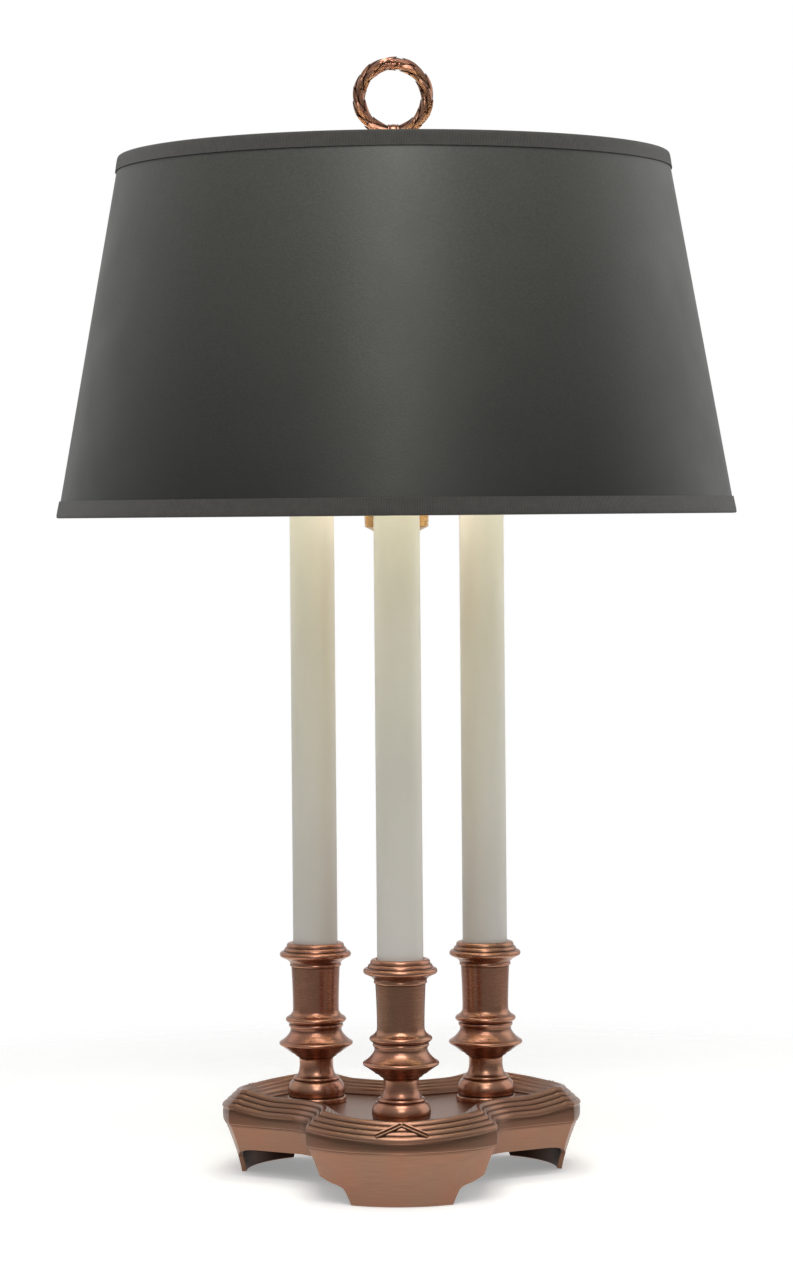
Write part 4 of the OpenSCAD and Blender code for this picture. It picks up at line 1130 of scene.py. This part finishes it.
def fold(edge, inward, leg):
    """Tape folded over an edge: the outer leg, a rounded turn and the inner leg. inward is 1 at the
    bottom edge, where the fold opens upwards, and -1 at the top."""
    far = TAPE_IN + TAPE_WALL
    points = [(0.05, leg, 1), (0.0, 0.9), (0.35, 0.25), (1.1, 0.0), (far - 1.1, 0.0), (far - 0.35, 0.25),
              (far, 0.9), (far - 0.05, leg, 1), (TAPE_IN, leg - 0.1, 1), (TAPE_IN, 1.3),
              (TAPE_IN - 0.5, TAPE_WALL), (TAPE_WALL + 0.5, TAPE_WALL), (TAPE_WALL, 1.3),
              (TAPE_WALL, leg - 0.1, 1), (0.05, leg)]
    heights = [edge + inward * up for inset, up, *corner in points]
    return curve([(shade_r(z) - inset, z, *corner) for z, (inset, up, *corner) in zip(heights, points)], 0.5)


lining_in = PANEL_IN + PANEL_WALL - LINING
panel = [(turned(cone_layer(PANEL_IN, lining_in - GLUE), PANEL_SIDES, lapped), shade_out),
         (turned(cone_layer(lining_in, PANEL_IN + PANEL_WALL), LINING_SIDES), shade_in)]
piece("shade_laminate", ["shade_panel"], panel)
for part, edge, inward, leg in (("top", SHADE_HIGH, -1, 9.0), ("bottom", SHADE_LOW, 1, 10.0)):
    tape_grid = turned(fold(edge, inward, leg), TAPE_SIDES)
    piece(f"{part}_tape_folded", [f"{part}_tape_band"], [(tape_grid, tape)], CREASE_TAPE)
for part, z in (("top", TOP_WIRE_Z), ("bottom", LOW_WIRE_Z)):
    ring_line = circle(WIRE, 16) + [shade_r(z) - WIRE_IN, z]
    piece(f"{part}_wire_ring", [f"{part}_wire"], [(turned(ring_line, WIRE_SIDES), wire_coat)])

# %% [markdown]
# The shade hangs on a spider: a brass washer on the seat at the top of the stem, with three wires
# brazed to it that run up to the top wire. The seat is turned with a neck that the washer turns on and
# a stud for the finial.

# %% Spider
SPIDER_Z, SPIDER_TOP, SPIDER_RING, NECK, STUD, STUD_LENGTH = 600.0, 601.6, 13.5, 4.9, 3.15, 10.0
STUD_ROW, STUD_PITCH, STUD_DEPTH, ARM_RADIUS, ARM_LENGTH = 0.17, 0.85, 0.3, 1.5, 148
neck_top = SPIDER_TOP - 0.3
stud_top = neck_top + STUD_LENGTH
seat_line = curve([(4.95, 596, 1), (11.6, 596, 1), (12, 596.4), (12, 599.6), (11.7, 600, 1), (NECK, 600, 1),
                   (NECK, neck_top, 1), (STUD, neck_top, 1)], 1.0)[:-1]
stud_rows = np.arange(neck_top, stud_top - 0.3, STUD_ROW)
seat_line = np.concatenate([seat_line, side_by_side(STUD, stud_rows),
                            [(STUD - 0.4, stud_top), (0, stud_top), (0, 598), (4.95, 598), (4.95, 596)]])


def stud_thread(a, h, r):
    """A fine thread on the stud only."""
    cut = between(h, neck_top + 0.6, stud_top - 0.5, 1) * (np.abs(r - STUD) < 0.05)
    return r - STUD_DEPTH * cut * triangle(climb(a, h, STUD_PITCH))


hub_low = SPIDER_Z + 0.02
hub_line = bored([(13.2, hub_low, 1), (13.5, SPIDER_Z + 0.4), (13.5, SPIDER_TOP - 0.4),
                  (13.2, SPIDER_TOP, 1)], 4.96)
piece("shade_seat_turned", ["shade_seat"], [(turned(seat_line, 64, stud_thread), brass)])
turning("spider_hub_washer", "spider_hub", brass, hub_line, step=0.8)


def spider_arm(angle):
    """A wire from the washer's edge, straight up to the top wire, with a bell-shaped swelling of braze
    near each end."""
    t = np.concatenate([[0], np.linspace(0, 1, 60), [1]])
    end = np.array([shade_r(TOP_WIRE_Z) - WIRE_IN - WIRE - 0.1, 0, TOP_WIRE_Z])
    start = np.array([SPIDER_RING - 0.5, 0, SPIDER_Z + (SPIDER_TOP - SPIDER_Z) / 2])
    path = start + (end - start) * t[:, None]
    low_braze = 0.45 * np.exp(-((t * ARM_LENGTH - 2.0) / 2.0) ** 2)
    high_braze = 0.3 * np.exp(-(((1 - t) * ARM_LENGTH - 1.5) / 1.6) ** 2)
    size = 1 + low_braze + high_braze
    size[0] = size[-1] = 0
    path[0] += (start - end) * 1e-5
    path[-1] += (end - start) * 1e-5
    return placed(swept(path, circle(ARM_RADIUS, 16), (0, 0, 1), size=size), Matrix.Rotation(angle, 4, "Z"))


arms = [(spider_arm(angle), brass) for angle in SOCKET_ANGLES]
piece("spider_arms_brazed", ["spider_arms"], arms)

# %% [markdown]
# ## The finial
# A turned stem carries an upright ring of laurel: two branches tied at the foot, with leaves that
# overlap like tiles towards the top, where a few berries close it. A leaf is worked out in the
# branch's own directions: along it, and round its section. Its half width follows a sine that is
# fullest before the middle, it lifts off the branch towards the tip and winds a little round it, all
# the leaves the same way as in a rope, and it has a raised midrib.

# %% Finial
STEM_FOOT_Z, STEM_HEIGHT, WREATH_Z, WREATH_RADIUS, WREATH_SECTION = 601.6, 20.1, 646.5, 20.4, 4.4
STEM_BORE, TENON_HOLE, TENON = 3.21, 2.1, 2.0
finial_line = [(STEM_BORE, 0, 1), (6.8, 0, 1), (7, 0.25), (7.0, 1.6), (6.6, 2.3, 1), (6.0, 2.5, 1),
               (5.6, 3.2), (5.2, 4.4), (4.95, 6.6), (4.9, 9.0), (4.7, 11.4), (4.25, 13.6), (4.2, 14.4, 1),
               (4.9, 14.8), (5.45, 15.8), (5.5, 17.2), (5.1, 18.2, 1), (4.7, 18.4), (4.1, 19.2),
               (3.85, STEM_HEIGHT, 1), (TENON_HOLE, STEM_HEIGHT, 1), (TENON_HOLE, 13.6, 1),
               (STEM_BORE, 10.5, 1), (STEM_BORE, 0)]
turning("finial_stem_turned", "finial_stem", bronze, finial_line, 80, 0.4,
        raised(STEM_FOOT_Z), crease=CREASE_TURNED)

LEAF_LENGTH, LEAF_HALF, LEAF_LIFT, LEAF_TWIST, BRANCH, STATIONS = 13.6, 3.4, 1.05, 0.7, 3.1, 8
LEAF_THICK, MIDRIB, LEAF_ARCH, LEAF_ROWS, LEAF_COLUMNS, CREASE_WREATH = 0.42, 0.28, 0.85, 16, 11, 40
FIRST_LEAF, LEAF_SPREAD, BERRY, BERRY_SEAT = 8, 140, 1.0, 3.3


def on_branch(theta, radius, around):
    """A point of the ring: theta from its foot, and radius and angle in its section. The section's
    first direction points away from the ring's middle and its second to the back."""
    away = WREATH_RADIUS + radius * np.cos(around)
    return side_by_side(away * np.sin(theta), radius * np.sin(around), WREATH_Z - away * np.cos(theta))


def leaf(theta, around, side):
    """Upper face out along one edge to the other, and back below: a closed thin leaf."""
    u = np.linspace(0, 1, LEAF_ROWS)[:, None]
    over = np.linspace(-1, 1, LEAF_COLUMNS)
    w = np.concatenate([over, over[-2::-1]])[None, :]
    below = np.concatenate([np.zeros(LEAF_COLUMNS), np.ones(LEAF_COLUMNS - 1)])[None, :]
    below[0, -1] = 0
    half = LEAF_HALF * np.sin(math.pi * u**0.8) ** 0.7
    lift = BRANCH + 0.15 + LEAF_LIFT * u
    swell = np.sin(math.pi * u)
    rise = MIDRIB * np.exp(-((w / 0.16) ** 2)) * swell - LEAF_ARCH * w**2 * swell**0.7
    radius = np.minimum(lift + rise, WREATH_SECTION - 0.03) - LEAF_THICK * below * (1 - w**2)
    points = on_branch(side * (theta + u * LEAF_LENGTH / WREATH_RADIUS), radius,
                      around - side * LEAF_TWIST * (u - 0.3) + w * half / lift)
    # Painted shade and highlight: each leaf is dark along its edges and tip where the leaves overlap, darker
    # at its base under the leaf before it, and lighter along its middle.
    rim = 1.1 * ((np.abs(w) > 0.75) | (u > 0.9))
    deep = rim + 0.8 * (1 - u) ** 3 - 0.7 * np.exp(-((w / 0.4) ** 2))
    return Grid(points, side_by_side(w * half, u * LEAF_LENGTH), deep)


def berry(theta, around):
    """A small ball on the branch."""
    a = np.linspace(-math.pi / 2, math.pi / 2, 12)
    ball = turned(side_by_side(BERRY * np.cos(a), BERRY * np.sin(a)), 18)
    return placed(ball, Matrix.Translation(tuple(on_branch(theta, BERRY_SEAT, around))))


turns = np.linspace(0, 2 * math.pi, 145)
spine = on_branch(turns, 0.0, 0.0)
away = side_by_side(np.sin(turns), 0, -np.cos(turns))
# Painted shade: the branch under the leaves is given the dark tone all over.
branch = swept(spine, circle(BRANCH, 20), away, hollow=np.full(21, 0.9))
branch.points[-1] = branch.points[0]
leaves = []
for station in range(STATIONS):
    start = math.radians(FIRST_LEAF + LEAF_SPREAD * station / (STATIONS - 1))
    for quarter in range(4):
        around = math.radians(90 * quarter + 45 * (station % 2))
        leaves += [leaf(start, around, side) for side in (1, -1)]
berry_places = ((0.0, -1.2), (0.13, -1.0), (-0.13, -1.05), (0.07, -1.75), (-0.07, -1.8), (0.2, -1.7),
                (-0.2, -1.75), (0.0, -2.4), (0.08, 1.3), (-0.08, 1.5), (0.02, 2.1), (0.16, 1.8), (-0.16, 2.0))
berries = [berry(math.pi + past_top, around) for past_top, around in berry_places]
tie_line = curve([(0, -3.4, 1), (3.6, -3.4), (4.3, -3.1), (4.35, -2.5), (3.95, -2.1, 1), (4.25, -1.2),
                  (4.35, 0), (4.25, 1.2), (3.95, 2.1, 1), (4.35, 2.5), (4.3, 3.1), (3.6, 3.4, 1),
                  (0, 3.4)], 0.4)
tie = placed(turned(tie_line, 48), raised(WREATH_Z - WREATH_RADIUS) @ Matrix.Rotation(math.pi / 2, 4, "Y"))
foot_z = WREATH_Z - WREATH_RADIUS - WREATH_SECTION
tenon_rod = rod(TENON, foot_z - 5.9, foot_z + 2.4, 32)
piece("laurel_wreath", ["finial_wreath"],
      [(grid, bronze) for grid in [branch, tie, tenon_rod] + leaves + berries], CREASE_WREATH)

# %% [markdown]
# ## The stage
# The floor is a white disc that fades out towards its edge, so that it runs into the white behind it
# and keeps the lamp's shadow. To the camera it glows a little, as a sheet lit from below would.
# Polished metal doesn't see the part far in front, where a studio's white sheet ends.

# %% Floor
FLOOR_RADIUS, FLOOR_Y, FLOOR_DROP, FLOOR_GLOW = 0.62, 0.12, 0.0003, 0.28


def floor_finish():
    """Matt white that glows to the camera, clear past its edge and, for polished metal, in front."""
    material = bpy.data.materials.new("studio_floor")
    tree = cleared(material)
    place = in_object(tree)
    reach = add_node(tree, "ShaderNodeVectorMath", {0: place}, operation="LENGTH").outputs["Value"]
    edge = scaled(tree, reach, 0.55 * FLOOR_RADIUS, 0.98 * FLOOR_RADIUS, 0, 1)
    rays, seen = sight(tree)
    glow = maths(tree, "MULTIPLY", maths(tree, "MAXIMUM", seen, rays["Is Glossy Ray"]), FLOOR_GLOW)
    forward = scaled(tree, axes_of(tree, place)["Y"], -0.26, -0.36, 0, 0.95)
    edge = maths(tree, "MAXIMUM", edge, maths(tree, "MULTIPLY", forward, rays["Is Glossy Ray"]))
    matt = add_node(tree, "ShaderNodeBsdfDiffuse", {"Color": (0.9, 0.9, 0.89, 1)}).outputs[0]
    light = add_node(tree, "ShaderNodeEmission", {"Color": (1, 1, 1, 1), "Strength": glow}).outputs[0]
    sheet = add_node(tree, "ShaderNodeAddShader", {0: matt, 1: light}).outputs[0]
    clear = add_node(tree, "ShaderNodeBsdfTransparent", {}).outputs[0]
    both = add_node(tree, "ShaderNodeMixShader", {0: edge, 1: sheet, 2: clear}).outputs[0]
    add_node(tree, "ShaderNodeOutputMaterial", {"Surface": both})
    return material


floor_mesh = bpy.data.meshes.new("floor")
ring_shape = bmesh.new()
bmesh.ops.create_circle(ring_shape, cap_ends=True, radius=FLOOR_RADIUS, segments=128)
ring_shape.to_mesh(floor_mesh)
ring_shape.free()
floor_mesh.materials.append(floor_finish())
floor = add_object("floor", floor_mesh)
floor.location = (0, FLOOR_Y, -FLOOR_DROP)

# %% [markdown]
# The world is a white room to the camera. Matt surfaces get an even, dimmer light from it, and
# polished ones see white behind, dull grey walls in front and at the sides and a paler ceiling, as in
# a studio where the backdrop is lit: that gives the metal its dark bands.

# %% World
AMBIENT, WALL_GREY, BACK_GREY, CEILING_GREY = 0.42, 0.26, 0.8, 0.55


def studio_world():
    """White to the camera, AMBIENT to matt surfaces, and to polished ones a room whose back wall and
    ceiling are brighter than the rest."""
    world = bpy.data.worlds.new("studio")
    tree = cleared(world)
    rays, seen = sight(tree)
    axes = axes_of(tree, add_node(tree, "ShaderNodeTexCoord", {}).outputs["Generated"])
    back = scaled(tree, axes["Y"], 0.65, 0.97, WALL_GREY, BACK_GREY)
    above = scaled(tree, axes["Z"], 0.1, 0.5, WALL_GREY, CEILING_GREY)
    room = maths(tree, "MAXIMUM", back, above)
    other = add_node(tree, "ShaderNodeMix", {0: rays["Is Glossy Ray"], 2: AMBIENT, 3: room}).outputs[0]
    level = add_node(tree, "ShaderNodeMix", {0: seen, 2: other, 3: 1.0}).outputs[0]
    sky = add_node(tree, "ShaderNodeBackground", {"Color": (1, 1, 1, 1), "Strength": level}).outputs[0]
    add_node(tree, "ShaderNodeOutputWorld", {"Surface": sky})
    bpy.context.scene.world = world


studio_world()

# %% [markdown]
# Four soft boxes light it: one high in front, one nearly overhead, and a broad one at each side. Their
# power follows from the wanted light: a lamp of power P at distance r lights a white surface that
# faces it to P / (pi r) ** 2.

# %% Soft boxes
def softbox(name, azimuth, height, distance, size, level, aim=(0, 0, 0.3)):
    """A rectangular lamp; azimuth 0 stands in front and 90 to the right; level is what it adds to a
    white surface that faces it."""
    a = math.radians(azimuth)
    place = Vector((distance * math.sin(a), -distance * math.cos(a), height))
    way = Vector(aim) - place
    lamp = bpy.data.lights.new(name, "AREA")
    lamp.shape, lamp.size, lamp.size_y = "RECTANGLE", size[0], size[1]
    lamp.energy = level * (math.pi * way.length) ** 2
    box = add_object(name, lamp)
    box.location = place
    box.rotation_euler = way.to_track_quat("-Z", "Y").to_euler()


softbox("front", 0, 1.45, 2.1, (0.8, 0.8), 0.2, aim=(0, 0, 0.5))
softbox("top", 0, 1.85, 0.98, (1.0, 0.7), 0.38, aim=(0, 0, 0.1))
softbox("left", -116, 0.7, 1.6, (1.6, 1.5), 0.13)
softbox("right", 112, 0.7, 1.6, (1.6, 1.5), 0.26)

# %% [markdown]
# The bulbs are lit low: a small warm lamp between them shines down and sideways in the shade, so that
# its lining lights the tops of the tubes and shows as warm glints on everything that looks up at it.

# %% Bulb light
BULB_LIGHT_Z = 0.56
bulb_light = bpy.data.lights.new("bulb_light", "SPOT")
bulb_light.energy, bulb_light.shadow_soft_size, bulb_light.color = 3.5, 0.1, (0.96, 1.0, 0.93)
bulb_light.spot_size, bulb_light.spot_blend = math.radians(178), 0.2
add_object("bulb_light", bulb_light).location = (0, 0, BULB_LIGHT_Z)

# %% [markdown]
# ## The camera
# It stands 2.28 m in front of the stem at the height of the shade's bottom edge, and looks level, so
# that upright lines stay upright. As in a view camera the frame is shifted down to take in the base.
# It is rolled by half a degree.

# %% Camera
FRAME_HEIGHT, HORIZON_Y, VIEW_PX, SENSOR = 1273, 515.5, 3806, 36.0
CAMERA_DISTANCE, CAMERA_HEIGHT, CAMERA_ROLL = 2.281, 0.396, math.radians(-0.48)
camera_data = bpy.data.cameras.new("camera")
camera_data.sensor_width, camera_data.sensor_fit = SENSOR, "AUTO"
camera_data.lens = SENSOR * VIEW_PX / FRAME_HEIGHT
camera_data.shift_y = (HORIZON_Y - FRAME_HEIGHT / 2) / FRAME_HEIGHT
camera = add_object("camera", camera_data)
camera.matrix_world = (Matrix.Translation((0, -CAMERA_DISTANCE, CAMERA_HEIGHT))
                       @ Matrix.Rotation(math.pi / 2, 4, "X") @ Matrix.Rotation(CAMERA_ROLL, 4, "Z"))
bpy.context.scene.camera = camera
bpy.context.scene.view_settings.view_transform = "Standard"
